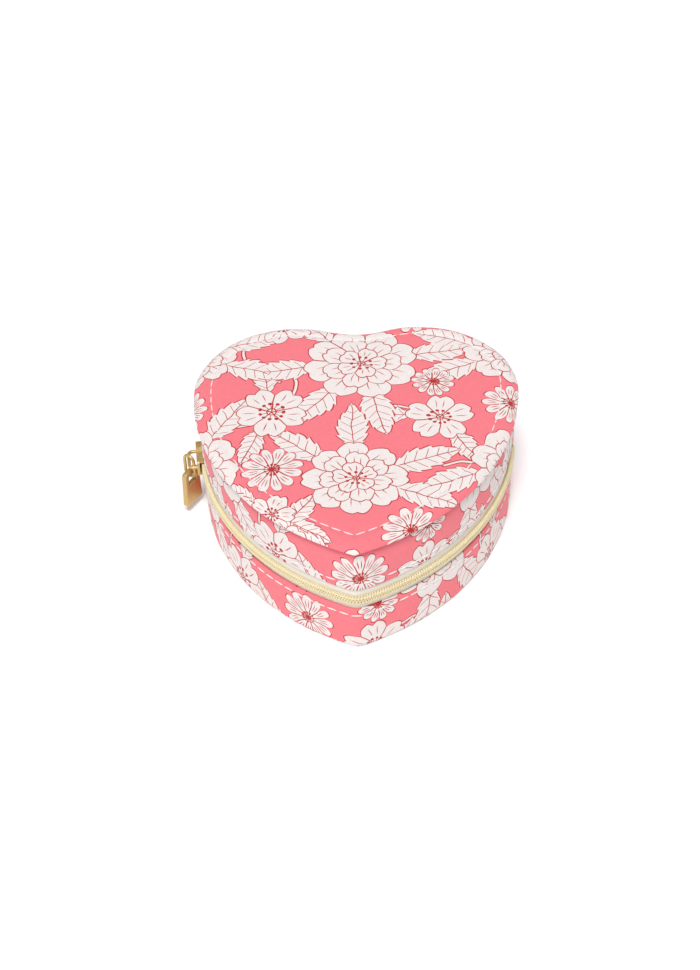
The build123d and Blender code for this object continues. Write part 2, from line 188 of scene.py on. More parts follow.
class Outline:
    """The walls' outline as tangent arcs; a place on it is an arc's number plus the share of that arc."""

    def __init__(self, tip_radius=None, inset=0.0):
        size = sizes()
        tip = size.tip_radius if tip_radius is None else tip_radius
        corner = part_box("base_wall_cover")[1]
        lobe = corner.x - size.lobe_offset
        lobe_y = corner.y - lobe
        side_centre = size.side_radius - corner.x
        rise = sqrt((lobe + size.cleft_radius) ** 2 - size.lobe_offset ** 2)
        reach = size.side_radius - tip
        side_turn = acos(side_centre / reach)
        lobe_turn = -atan2(rise, -size.lobe_offset)
        cleft = Arc((0, lobe_y + rise), atan2(size.lobe_offset, rise), size.cleft_radius)
        self.arcs = [
            cleft,
            Arc((size.lobe_offset, lobe_y), lobe_turn, lobe),
            Arc((-side_centre, lobe_y), -side_turn, size.side_radius),
            Arc((0, lobe_y - sqrt(reach ** 2 - side_centre ** 2)), 2 * side_turn - pi, tip),
            Arc((side_centre, lobe_y), -side_turn, size.side_radius),
            Arc((-size.lobe_offset, lobe_y), lobe_turn, lobe),
            cleft,
        ]
        self.lobe_y = lobe_y
        self.headings = [0.0]
        self.stations = [0.0]
        self.runs = [abs(arc.turn) * arc.radius + arc.turn * inset for arc in self.arcs]
        for arc, run in zip(self.arcs, self.runs):
            self.headings.append(self.headings[-1] + arc.turn)
            self.stations.append(self.stations[-1] + run)

    def part(self, place):
        """The number of a place's arc, the share of that arc that is passed, and whole rounds before it."""
        rounds, rest = divmod(place, ARC_COUNT)
        number = min(int(rest), ARC_COUNT - 1)
        return number, rest - number, int(rounds)

    def arc(self, place):
        """The arc that a place is on."""
        return self.arcs[self.part(place)[0]]

    def station(self, place):
        """Distance from the cleft along the outline, or along the line that runs inset within it."""
        number, share, rounds = self.part(place)
        return self.stations[number] + self.runs[number] * share + rounds * self.stations[-1]

    def place(self, station):
        """The place at a distance from the cleft."""
        rounds, rest = divmod(station, self.stations[-1])
        number = max(n for n in range(ARC_COUNT) if self.stations[n] <= rest)
        return number + (rest - self.stations[number]) / self.runs[number] + rounds * ARC_COUNT

    def outward(self, place):
        """The way out of the case at a place."""
        number, share = self.part(place)[:2]
        heading = self.headings[number] + self.arcs[number].turn * share
        return Vector((-sin(heading), cos(heading), 0))

    def at(self, place, inset=0.0, height=0.0):
        """The point at a place, moved in from the wall by inset."""
        arc = self.arc(place)
        side = 1 if arc.turn < 0 else -1
        return Vector((*arc.centre, height)) + self.outward(place) * (side * arc.radius - inset)

    def stretches(self, first, last):
        """First and last place of each arc's stretch between two places, and its number of mesh steps."""
        nearly = 1e-9
        places = [first, *range(int(first + nearly) + 1, ceil(last - nearly)), last]
        for start, end in zip(places, places[1:]):
            run = self.station(end) - self.station(start)
            yield start, end, max(ceil(run / sizes().segment), 1)


# Mesh tools

def of_kind(items, kind):
    """The vertices, edges or faces among a bmesh operator's results."""
    return [item for item in items if isinstance(item, kind)]


def verts_of(items):
    return of_kind(items, bmesh.types.BMVert)


def edges_of(items):
    return of_kind(items, bmesh.types.BMEdge)


def soften(bm, geom, offset, segments, affect="EDGES"):
    """Rounds edges, or the corners of a flat loop."""
    bmesh.ops.bevel(bm, geom=geom, offset=offset, offset_type="OFFSET", segments=segments, profile=0.5,
                    affect=affect, material=-1, clamp_overlap=True)


def add_loop(bm, points):
    """Adds a closed loop of straight edges and gives its vertices and its edges."""
    verts = [bm.verts.new(point) for point in points]
    return verts, [bm.edges.new(pair) for pair in zip(verts, verts[1:] + verts[:1])]


def extrude_loop(bm, edges):
    """Extrudes a loop of edges and gives the new edges and vertices."""
    made = bmesh.ops.extrude_edge_only(bm, edges=edges)["geom"]
    verts = verts_of(made)
    fresh = set(verts)
    return [edge for edge in edges_of(made) if set(edge.verts) <= fresh], verts


def draw_out(bm, geometry, way):
    """Extrudes a loop of edges along a straight way and gives its far end."""
    edges, verts = extrude_loop(bm, edges_of(geometry))
    bmesh.ops.translate(bm, vec=way, verts=verts)
    return verts + edges


def turn_out(bm, geometry, centre, axis, turn, steps):
    """Spins vertices and edges round an axis and gives their far end."""
    done = bmesh.ops.spin(bm, geom=geometry, cent=centre, axis=axis, dvec=(0, 0, 0), angle=turn,
                          steps=steps, use_duplicate=False)
    return done["geom_last"]


def start_wire(bm, radius, matrix):
    """Puts the round section of a wire in an empty bmesh and gives its vertices and edges."""
    bmesh.ops.create_circle(bm, segments=10, radius=radius, matrix=matrix)
    return bm.verts[:] + bm.edges[:]


def sweep(profile, outline, rounding, row, first=0.0, last=float(ARC_COUNT)):
    """A bmesh of a closed profile carried round the outline.

    The profile is a list of (inset, height) points. Its corners get a rounding and its edges are cut into
    pieces of about row. Each vertex keeps its place in the float layer "place".
    """
    bm = bmesh.new()
    corners = add_loop(bm, [outline.at(first, inset, height) for inset, height in profile])[0]
    soften(bm, corners, rounding, 3, "VERTICES")
    for edge in bm.edges[:]:
        cuts = round(edge.calc_length() / row) - 1
        if cuts > 0:
            bmesh.ops.subdivide_edges(bm, edges=[edge], cuts=cuts)
    layer = bm.verts.layers.float.new("place")
    start_edges = bm.edges[:]
    geometry = bm.verts[:] + start_edges
    for vert in bm.verts:
        vert[layer] = first
    known = set(bm.verts)
    for start, end, steps in outline.stretches(first, last):
        arc = outline.arc((start + end) / 2)
        geometry = turn_out(bm, geometry, (*arc.centre, 0), UP, arc.turn * (end - start), steps)
        start_arm = (outline.at(start) - Vector((*arc.centre, 0))).xy
        for vert in bm.verts:
            if vert not in known:
                arm = vert.co.xy - Vector(arc.centre)
                vert[layer] = start + arm.angle_signed(start_arm) / arc.turn
        known = set(bm.verts)
    if last - first < ARC_COUNT:
        bmesh.ops.edgeloop_fill(bm, edges=start_edges)
        bmesh.ops.edgeloop_fill(bm, edges=edges_of(geometry))
    return bm


def ring(outline, inset, height):
    """A bmesh with one closed loop round the outline, and its places in the layer "place"."""
    bm = bmesh.new()
    layer = bm.verts.layers.float.new("place")
    start = vert = bm.verts.new(outline.at(0, inset, height))
    for first, last, steps in outline.stretches(0, ARC_COUNT):
        arc = outline.arc((first + last) / 2)
        for step in range(steps):
            done = turn_out(bm, [vert], (*arc.centre, 0), UP, arc.turn * (last - first) / steps, 1)
            vert = verts_of(done)[0]
            vert[layer] = first + (last - first) * (step + 1) / steps
    bmesh.ops.weld_verts(bm, targetmap={vert: start})
    return bm


HEART_MIDDLE = Vector((0, 8 * MM, 0))
# Sizes of the loops between a panel's rim and its middle
DRAWN_IN = (0.86, 0.72, 0.58, 0.44, 0.3, 0.16, 0.05)


def heart_cap(outline_for, rim, crown=0.0, shares=DRAWN_IN):
    """A bmesh of a heart-shaped panel: loops along its rim, loops drawn towards the middle and a fill.

    rim is a list of (inset, height). outline_for gives the outline whose tip suits an inset.
    """
    bm = ring(outline_for(rim[0][0]), *rim[0])
    layer = bm.verts.layers.float["place"]
    edges = bm.edges[:]
    for inset, height in rim[1:]:
        outline = outline_for(inset)
        edges, verts = extrude_loop(bm, edges)
        for vert in verts:
            vert.co = outline.at(vert[layer], inset, height)
    edge_height = rim[-1][1]
    kept = 1.0
    for share in shares:
        edges, verts = extrude_loop(bm, edges)
        shrink = share / kept
        kept = share
        bmesh.ops.scale(bm, vec=(shrink, shrink, 1), space=Matrix.Translation(-HEART_MIDDLE), verts=verts)
        for vert in verts:
            vert.co.z = edge_height + crown * (1 - share ** 2)
    bmesh.ops.edgeloop_fill(bm, edges=edges)
    return bm


def tip_outlines(least):
    """Gives the outline for an inset: past the tip's own radius the sides meet in a point."""
    tip_radius = sizes().tip_radius
    return lambda inset: Outline(max(tip_radius, inset + least))


def new_piece(name, bm, finish, body, replaces=(), smooth_angle=50):
    """Turns a bmesh into a piece that rides on a body and stands for its CAD nodes."""
    bmesh.ops.remove_doubles(bm, verts=bm.verts, dist=MERGE)
    bmesh.ops.recalc_face_normals(bm, faces=bm.faces)
    mesh = bpy.data.meshes.new(name)
    bm.to_mesh(mesh)
    bm.free()
    return dress_piece(name, mesh, finish, body, replaces, smooth_angle)


def dress_piece(name, mesh, finish, body, replaces, smooth_angle):
    """Makes a piece of a mesh. One without a body is blended across a joint by its maker."""
    piece = bpy.data.objects.new(name, mesh)
    bpy.context.scene.collection.objects.link(piece)
    mesh.materials.clear()
    mesh.materials.append(bpy.data.materials[finish])
    mesh.shade_smooth()
    mesh.set_sharp_from_angle(angle=radians(smooth_angle))
    if body:
        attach(piece, body)
    if replaces:
        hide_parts(*replaces)
    return piece


# Places on the case

def wall_inset(node):
    """How far a node's outline stands inside the wall's outline."""
    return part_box("base_wall_cover")[1].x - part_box(node)[1].x


def zip_edges():
    """Heights of the base's edge and the lid's edge beside the zip."""
    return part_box("base_wall_cover")[1].z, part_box("lid_wall_cover")[0].z


def zip_middle():
    """Height of the line where the two halves of the zip meet."""
    return sum(zip_edges()) / 2


# Cloth

CLOTH_UNIT = 100 * MM                       # the cloth's own coordinates count in tenths of a metre
CHANNEL_DEPTH, CHANNEL_REACH = 0.22 * MM, 1.3 * MM      # the channel along a row of stitches
DRAW_DEPTH, DRAW_REACH = 0.10 * MM, 2.6 * MM            # what each stitch draws in besides
WALL_PUFF, PUFF_SHAPE = 0.35 * MM, 0.6      # how far a wall's padding swells, and how full it is
TUCK_REACH = 2.2 * MM                       # height of the stretch that turns in under the lid's lip
WALL_WAVE, WALL_GRAIN = 0.12 * MM, 14 * MM  # height and width of a wall's unevenness
HEM = 3.5                                   # height of a turned edge, in thicknesses of cloth


def cloth_coordinates(bm, rule, shift):
    """Writes the cloth's flat coordinates, given by rule for each corner of each face."""
    layer = bm.loops.layers.uv.new("cloth")
    for face in bm.faces:
        for corner in face.loops:
            across, up = rule(corner.vert)
            corner[layer].uv = (across / CLOTH_UNIT + shift[0], up / CLOTH_UNIT + shift[1])


def wall_coordinates(bm, outline, shift):
    """Lays the cloth's coordinates round a wall."""
    layer = bm.verts.layers.float["place"]
    cloth_coordinates(bm, lambda vert: (outline.station(vert[layer]), vert.co.z), shift)


def uneven(point, grain, seed):
    """Smooth unevenness from -1 to 1, with features about grain across."""
    return noise.noise(point / grain + Vector((seed, 0.37 * seed, 1.7 * seed)))


def ease(share):
    """Goes from 0 to 1 with a soft start and end."""
    share = min(max(share, 0), 1)
    return share * share * (3 - 2 * share)


def dip(distance, width):
    """1 on a line and 0 beyond width from it."""
    return ease(1 - abs(distance) / width)


def pucker(station, distance):
    """How far cloth draws in beside a row of stitches: a channel that deepens at each stitch."""
    size = sizes()
    wave = 0.5 + 0.5 * cos(TAU * station / (size.stitch_length + size.stitch_gap))
    return CHANNEL_DEPTH * dip(distance, CHANNEL_REACH) + DRAW_DEPTH * wave * dip(distance, DRAW_REACH)


def make_wall(body, up, shift, seed, tuck):
    """One wall: padding, the channel of its stitches, a hem at the zip and an edge tucked in by tuck."""
    size = sizes()
    outline = Outline()
    cloth = size.cloth
    node = body + "_wall_cover"
    low, high = (corner.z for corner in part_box(node))
    zip_edge, far_edge = (low, high) if up > 0 else (high, low)
    profile = [(0, far_edge), (0, zip_edge), (cloth, zip_edge), (cloth, zip_edge + up * HEM * cloth),
               (0.9 * cloth, far_edge)]
    bm = sweep(profile, outline, 0.35 * cloth, ROW)
    wall_coordinates(bm, outline, shift)
    stitch_height = zip_edge + up * size.wall_stitch_offset
    layer = bm.verts.layers.float["place"]
    for vert in bm.verts:
        share = min(max((vert.co.z - low) / (high - low), 0), 1)
        puff = WALL_PUFF * (4 * share * (1 - share)) ** PUFF_SHAPE
        puff -= tuck * dip(vert.co.z - high, TUCK_REACH)
        puff -= pucker(outline.station(vert[layer]), vert.co.z - stitch_height)
        puff += WALL_WAVE * uneven(vert.co, WALL_GRAIN, seed)
        vert.co += outline.outward(vert[layer]) * puff
    new_piece(body + "_wall", bm, "printed_cotton", body, [node])


class CASE_OT_walls(bpy.types.Operator):
    """Printed cotton round the lid and round the base"""
    bl_idname = "case.walls"
    bl_label = "Walls"

    def execute(self, context):
        make_wall("lid", 1, (0.75, 0.30), seed=3, tuck=1.0 * MM)
        make_wall("base", -1, (0.54, 0.57), seed=8, tuck=0.0)
        return {"FINISHED"}


# The lip's section, from under it to its top: insets in widths of the lip, and shares of its height
LIP_SECTION = ((2, 0.12), (-1.5, 0), (-2.1, 0.03), (-2.3, 0.12), (-2.2, 0.25), (-1.6, 0.45), (-0.6, 0.68),
               (0.7, 0.87), (2.4, 0.98))
# The top's section across its stitches: insets in the stitches' own, and rises in heights of the lip
STITCHED_SECTION = ((0.78, 0), (0.92, -0.05), (1, -0.09), (1.08, -0.05), (1.24, 0.02), (1.6, 0.07),
                    (2.1, 0.1))
LIP_WAVE, LIP_GRAIN = 0.2 * MM, 12 * MM     # unevenness of the lip's edge


def top_wave(point):
    """Unevenness of the padded top: broad waves and small ones."""
    flat = point.xy.to_3d()
    return 0.22 * MM * uneven(flat, 18 * MM, 5) + 0.06 * MM * uneven(flat, 6 * MM, 2)


class CASE_OT_lid_top(bpy.types.Operator):
    """Padded top of the lid, with its lip and the channel of its topstitching"""
    bl_idname = "case.lid_top"
    bl_label = "Lid top"

    def execute(self, context):
        size = sizes()
        low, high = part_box("lid_top_cover")
        lip = high.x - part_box("lid_wall_cover")[1].x
        bottom, top = low.z, high.z
        edge = top - bottom
        rim = [(inset * lip, bottom + rise * edge) for inset, rise in LIP_SECTION]
        rim += [(inset * size.top_stitch_inset, top + rise * edge) for inset, rise in STITCHED_SECTION]
        bm = heart_cap(lambda inset: Outline(inset + size.lid_tip_radius), rim, size.crown)
        layer = bm.verts.layers.float["place"]
        outline = Outline(size.lid_tip_radius)

        def laid_flat(vert):
            """Where a point lies on the cloth when its edge is turned up again."""
            return (vert.co + outline.outward(vert[layer]) * max(top - vert.co.z, 0)).xy

        cloth_coordinates(bm, laid_flat, (0.84, 0.51))
        for vert in bm.verts:
            rest = vert.co.copy()
            vert.co.z += top_wave(rest)
            vert.co += outline.outward(vert[layer]) * LIP_WAVE * uneven(rest, LIP_GRAIN, 9)
        piece = new_piece("lid_top", bm, "printed_cotton", "lid", ["lid_top_cover", "lid_top_pad"], 80)
        return {"FINISHED"}


class CASE_OT_bottom(bpy.types.Operator):
    """Printed cotton under the base"""
    bl_idname = "case.bottom"
    bl_label = "Bottom"

    def execute(self, context):
        low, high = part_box("base_bottom_cover")
        inset = wall_inset("base_bottom_cover")
        rim = [(5 * inset, high.z), (1.3 * inset, high.z), (inset, 0.6 * high.z),
               (1.5 * inset, 0.12 * (high.z - low.z)), (3.5 * inset, low.z), (14 * inset, low.z)]
        bm = heart_cap(tip_outlines(0.3 * MM), rim)
        cloth_coordinates(bm, lambda vert: vert.co.xy, (0.2, 0.8))
        new_piece("base_bottom", bm, "printed_cotton", "base", ["base_bottom_cover"])
        return {"FINISHED"}


# Stitching

TOP_STITCH_SINK = 0.12 * MM     # how far the stitches sink into the padded top
WALL_STITCH_RISE = 0.2 * MM     # how far they stand off the wall's outline
STITCH_LEAN = 0.05              # how far a stitch may lean, for its length


def stitch(bm, middle, outward, facing, long, thick, painted_sheen):
    """Adds one stitch: a spindle of thread along the outline, on a surface that faces facing."""
    along = Vector((outward.y, -outward.x, 0))
    along = (along + along.cross(facing) * painted_sheen).normalized()
    side = facing.cross(along).normalized()
    turn = Matrix((along, side, facing)).transposed().to_4x4()
    scale = Matrix.Diagonal((long / 2, thick / 2, thick / 2, 1))
    place = Matrix.Translation(middle) @ turn @ scale
    bmesh.ops.create_icosphere(bm, subdivisions=2, radius=1.0, matrix=place)


def stitch_row(name, body, outline, inset, height, first=0.0, last=float(ARC_COUNT), on_top=False):
    """A row of topstitching round the outline, on a wall or on the padded top."""
    size = sizes()
    start, end = outline.station(first), outline.station(last)
    count = round((end - start) / (size.stitch_length + size.stitch_gap))
    pitch = (end - start) / count
    bm = bmesh.new()
    for number in range(count):
        place = outline.place(start + (number + 0.5) * pitch)
        outward = outline.outward(place)
        middle = outline.at(place, inset, height)
        if on_top:
            middle.z += top_wave(middle)
        painted_sheen = STITCH_LEAN * uneven(middle, 3 * MM, 4)
        stitch(bm, middle, outward, UP if on_top else outward, size.stitch_length, size.thread, painted_sheen)
    new_piece(name, bm, "sewing_thread", body, smooth_angle=180)


class CASE_OT_stitching(bpy.types.Operator):
    """Rows of topstitching on the lid's top and beside the zip"""
    bl_idname = "case.stitching"
    bl_label = "Stitching"

    def execute(self, context):
        size = sizes()
        inset = size.top_stitch_inset
        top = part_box("lid_top_cover")[1].z
        line = Outline(inset + 0.05 * MM, inset)
        stitch_row("lid_top_stitches", "lid", line, inset, top - TOP_STITCH_SINK, TIP, TIP + ARC_COUNT,
                   on_top=True)
        base_edge, lid_edge = zip_edges()
        offset = size.wall_stitch_offset
        stitch_row("lid_wall_stitches", "lid", Outline(), -WALL_STITCH_RISE, lid_edge + offset)
        stitch_row("base_wall_stitches", "base", Outline(), -WALL_STITCH_RISE, base_edge - offset)
        return {"FINISHED"}


# Zip

ZIP_HALVES = (("lower", -1, "base"), ("upper", 1, "lid"))
ZIP_BOW, BOW_REACH = 0.45 * MM, 8 * MM      # how far the closed zip stands out, and how far from its middle
PART_WIDTH, PART_RUN = 0.6 * MM, 7 * MM     # how far a half of the zip parts, and along how much of it
PART_START = 1.0 * MM                       # where that begins, behind the slider's middle
TAPE_THICK = 0.7 * MM
TAPE_GIVE = 5 * MM                          # how far from the zip's middle a tape moves with its half
TAPE_SEAM = 0.02 * MM                       # half the seam where the tapes meet past the coil
COIL_STEPS = 10                             # points on one turn of the coil
COIL_REACH, COIL_HEIGHT = 0.72 * MM, 0.42 * MM          # half the width and half the depth of one turn
COIL_CENTRE = 0.78 * MM                     # a turn's middle, from the zip's middle
COIL_SEAT = 0.35 * MM                       # how far the turns stand off the tape


def tape_ends(outline):
    """Places where the tapes end, on the two lobes behind the widest points."""
    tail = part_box("zip_tape_lower")[1].y - outline.lobe_y
    lobe = outline.arcs[1]
    share = abs(asin(tail / lobe.radius) / lobe.turn)
    return RIGHT_WIDEST - share, LEFT_WIDEST + share


def coil_ends(outline):
    """Stations where the coil ends, at the right and at the left."""
    return outline.station(RIGHT_WIDEST) + 7.0 * MM, outline.station(LEFT_WIDEST) - 4.0 * MM


def parting(outline):
    """Gives how far each half of the zip is parted from its middle at a station, behind the slider."""
    low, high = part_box("slider_body")
    slider_y = (low.y + high.y) / 2
    open_from = outline.station(LEFT_WIDEST) - (outline.lobe_y - slider_y) + PART_START
    return lambda station: PART_WIDTH * ease((station - open_from) / PART_RUN)


class CASE_OT_tapes(bpy.types.Operator):
    """Woven tapes of the zip, parted behind the slider and shut past the coil's ends"""
    bl_idname = "case.tapes"
    bl_label = "Zip tapes"

    def execute(self, context):
        outline = Outline()
        face = sizes().cloth
        back = face + TAPE_THICK
        first, last = tape_ends(outline)
        right_end, left_end = coil_ends(outline)
        spread = parting(outline)
        middle = zip_middle()
        for name, up, body in ZIP_HALVES:
            low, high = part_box("zip_tape_" + name)
            inner, outer = (high.z, low.z) if up < 0 else (low.z, high.z)
            shut = TAPE_SEAM - abs(inner - middle)
            profile = [(face, outer), (face, inner), (back, inner), (back, outer)]
            bm = sweep(profile, outline, 0.25 * MM, ROW, first, last)
            layer = bm.verts.layers.float["place"]
            for vert in bm.verts:
                station = outline.station(vert[layer])
                past_coil = station > left_end or station < right_end - 2.0 * MM
                offset = shut if past_coil else spread(station)
                vert.co.z += up * offset * dip(vert.co.z - middle, TAPE_GIVE)
                vert.co += outline.outward(vert[layer]) * ZIP_BOW * dip(vert.co.z - middle, BOW_REACH)
            new_piece("tape_" + name, bm, "woven_tape", body, ["zip_tape_" + name])
        return {"FINISHED"}


class CASE_OT_coil(bpy.types.Operator):
    """The two halves of the nylon coil, with the thread that sews them down"""
    bl_idname = "case.coil"
    bl_label = "Zip coil"

    def execute(self, context):
        for name, up, body in ZIP_HALVES:
            self.wind(name, up, body)
            self.sew(name, up, body)
        return {"FINISHED"}

    def wind(self, name, up, body):
        """A wire wound along one half of the zip; the halves' turns lie between each other."""
        size = sizes()
        outline = Outline()
        spread = parting(outline)
        right_end, left_end = coil_ends(outline)
        middle = zip_middle()
        count = int((left_end - right_end) / size.coil_pitch * COIL_STEPS)
        curve = bpy.data.curves.new("coil_path", "CURVE")
        curve.dimensions = "3D"
        curve.bevel_depth = size.coil_wire / 2
        curve.bevel_resolution = 1
        spline = curve.splines.new("POLY")
        spline.points.add(count)
        shift = 0.0 if up > 0 else pi
        for number in range(count + 1):
            station = right_end + (left_end - right_end) * number / count
            turn = TAU * number / COIL_STEPS + shift
            across = COIL_CENTRE + COIL_REACH * cos(turn) + spread(station)
            out = COIL_HEIGHT * (1 + sin(turn)) + COIL_SEAT + ZIP_BOW
            point = outline.at(outline.place(station), size.cloth - out, middle + up * across)
            spline.points[number].co = (*point, 1)
        holder = bpy.data.objects.new("coil_path", curve)
        bpy.context.scene.collection.objects.link(holder)
        bpy.context.view_layer.update()
        mesh = bpy.data.meshes.new_from_object(holder.evaluated_get(bpy.context.evaluated_depsgraph_get()))
        bpy.data.objects.remove(holder)
        dress_piece("coil_" + name, mesh, "satin_nylon", body, ["zip_teeth_" + name], 180)

    def sew(self, name, up, body):
        """Stitches over the turns of one half."""
        size = sizes()
        outline = Outline()
        spread = parting(outline)
        right_end, left_end = coil_ends(outline)
        out = 1.85 * COIL_HEIGHT + 0.4 * MM + ZIP_BOW
        height = zip_middle()
        bm = bmesh.new()
        for number in range(int((left_end - right_end) / size.coil_pitch)):
            station = right_end + (number + 0.5) * size.coil_pitch
            place = outline.place(station)
            outward = outline.outward(place)
            across = COIL_CENTRE + 0.62 * COIL_REACH + spread(station)
            middle = outline.at(place, size.cloth - out, height + up * across)
            stitch(bm, middle, outward, outward, 1.5 * size.coil_pitch, 0.5 * size.coil_wire, 0.15 * up)
        new_piece("coil_thread_" + name, bm, "woven_tape", body, smooth_angle=180)


# Metal: the slider, the pull and the stops

SLIDER_LONG = 12.0 * MM
SLIDER_NOSE = 6.6 * MM                              # width of the slider's narrow end
FRONT_PLATE = (2.4 * MM, 3.5 * MM)                  # from the tape's face to the plate's two faces
BACK_PLATE = (-2.2 * MM, -1.1 * MM)
PLATE_LAP = 0.2 * MM                                # how far the parts of the slider run into each other
WEDGE = 0.7 * MM                                    # half the width of the wedge between the plates
FLANGE_IN, FLANGE_THICK = 2.5 * MM, 0.9 * MM        # from the zip's middle to a flange, and its thickness
ARCH_WIRE, ARCH_SPAN = 1.3 * MM, 9.0 * MM
LOOP_WIRE = 1.2 * MM
TAB_THICK = 2.0 * MM
TAB_TOP, TAB_FOOT = 8.0 * MM, 9.6 * MM              # the tab's widths at its two ends
WINDOW_WIDE, WINDOW_TALL = 4.6 * MM, 4.2 * MM       # opening in the tab
WINDOW_EDGE = 1.8 * MM                              # metal above it


def slider_matrix():
    """Places the slider's own axes: x along the zip towards its closed part, y up and z out of the case."""
    pivot = Vector(JOINTS["link_swing"]["pos_m"])
    centre = Vector((*Outline().arc(LEFT_WIDEST - 0.5).centre, pivot.z))
    outward = (pivot - centre).normalized()
    along = Vector((-outward.y, outward.x, 0))
    turn = Matrix((along, UP, outward)).transposed().to_4x4()
    return Matrix.Translation(centre + outward * (sizes().side_radius - sizes().cloth)) @ turn


def pull_matrix(joint_name):
    """Places the loop's or the tab's own axes: x along its pivot, y up and z outwards, at its joint."""
    joint = JOINTS[joint_name]
    along = -Vector(joint["axis"]).normalized()
    turn = Matrix((along, UP, along.cross(UP))).transposed().to_4x4()
    return Matrix.Translation(joint["pos_m"]) @ turn


def add_plate(bm, points, low, high, bevel, segments=3):
    """Adds a flat plate with softened edges."""
    known = set(bm.verts)
    face = bm.faces.new([bm.verts.new((x, y, low)) for x, y in points])
    made = bmesh.ops.extrude_face_region(bm, geom=[face])["geom"]
    bmesh.ops.translate(bm, vec=(0, 0, high - low), verts=verts_of(made))
    soften(bm, [edge for edge in bm.edges if not set(edge.verts) & known], bevel, segments)


def rounded_outline(points, radius, segments):
    """Rounds the corners of a flat outline and gives its points in order."""
    bm = bmesh.new()
    soften(bm, add_loop(bm, [(x, y, 0) for x, y in points])[0], radius, segments, "VERTICES")
    edge = next(iter(bm.edges))
    start = vert = edge.verts[0]
    ordered = []
    while not ordered or vert is not start:
        ordered.append((vert.co.x, vert.co.y))
        vert = edge.other_vert(vert)
        edge = next(other for other in vert.link_edges if other is not edge)
    bm.free()
    return ordered


def metal_piece(name, bm, matrix, body, node, smooth_angle):
    """Moves a metal piece to its place and finishes it."""
    bmesh.ops.transform(bm, matrix=matrix, verts=bm.verts)
    new_piece(name, bm, "plated_gold", body, [node], smooth_angle)


class CASE_OT_slider(bpy.types.Operator):
    """Slider: two plates with flanges round the coil, and the arch that carries the pull"""
    bl_idname = "case.slider"
    bl_label = "Slider"

    def execute(self, context):
        place = slider_matrix()
        self.shell(place)
        self.arch(place)
        return {"FINISHED"}

    def shell(self, place):
        """The plates, the wedge between them and the flanges."""
        low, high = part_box("slider_body")
        nose, tail = SLIDER_NOSE / 2, (high.z - low.z) / 2
        end, waist = SLIDER_LONG / 2, -SLIDER_LONG / 6
        points = [(end, -nose), (end, nose), (0, nose), (waist, tail), (-end, tail), (-end, -tail),
                  (waist, -tail), (0, -nose)]
        outline = rounded_outline(points, 1.3 * MM, 4)
        inside_low, inside_high = BACK_PLATE[1] - PLATE_LAP, FRONT_PLATE[0] + PLATE_LAP
        bm = bmesh.new()
        add_plate(bm, outline, *FRONT_PLATE, 0.35 * MM)
        add_plate(bm, outline, *BACK_PLATE, 0.3 * MM)
        broad, point = -SLIDER_LONG / 3, -SLIDER_LONG / 7
        wedge = [(-end, -WEDGE), (broad, -WEDGE), (point, 0), (broad, WEDGE), (-end, WEDGE)]
        add_plate(bm, wedge, inside_low, inside_high, 0.1 * MM, 1)
        short = end - 0.6 * MM
        for side in (-1, 1):
            flange = [(short, FLANGE_IN), (short, nose), (0, nose), (waist, tail), (-short, tail),
                      (-short, tail - FLANGE_THICK), (waist, tail - FLANGE_THICK), (0, FLANGE_IN)]
            add_plate(bm, [(x, side * y) for x, y in flange], 0.4 * MM, inside_high, 0.15 * MM, 2)
        metal_piece("slider_shell", bm, place, "slider", "slider_body", 35)

    def arch(self, place):
        """The bar over the slider, with a bend at each end."""
        foot = FRONT_PLATE[1]
        rise = (place.inverted() @ Vector(JOINTS["link_swing"]["pos_m"])).z - foot
        bend = rise / 2
        across = Vector((0, 1, 0))
        end, corner = ARCH_SPAN / 2, ARCH_SPAN / 2 - bend
        shoulder = foot + rise - bend
        bm = bmesh.new()
        geometry = start_wire(bm, ARCH_WIRE / 2, Matrix.Translation((-end, 0, foot - PLATE_LAP)))
        geometry = draw_out(bm, geometry, Vector((0, 0, rise - bend + PLATE_LAP)))
        geometry = turn_out(bm, geometry, Vector((-corner, 0, shoulder)), across, pi / 2, 6)
        geometry = draw_out(bm, geometry, Vector((2 * corner, 0, 0)))
        geometry = turn_out(bm, geometry, Vector((corner, 0, shoulder)), across, pi / 2, 6)
        draw_out(bm, geometry, Vector((0, 0, bend - rise - PLATE_LAP)))
        bmesh.ops.holes_fill(bm, edges=bm.edges, sides=12)
        metal_piece("slider_arch", bm, place, "slider", "slider_bridge", 50)


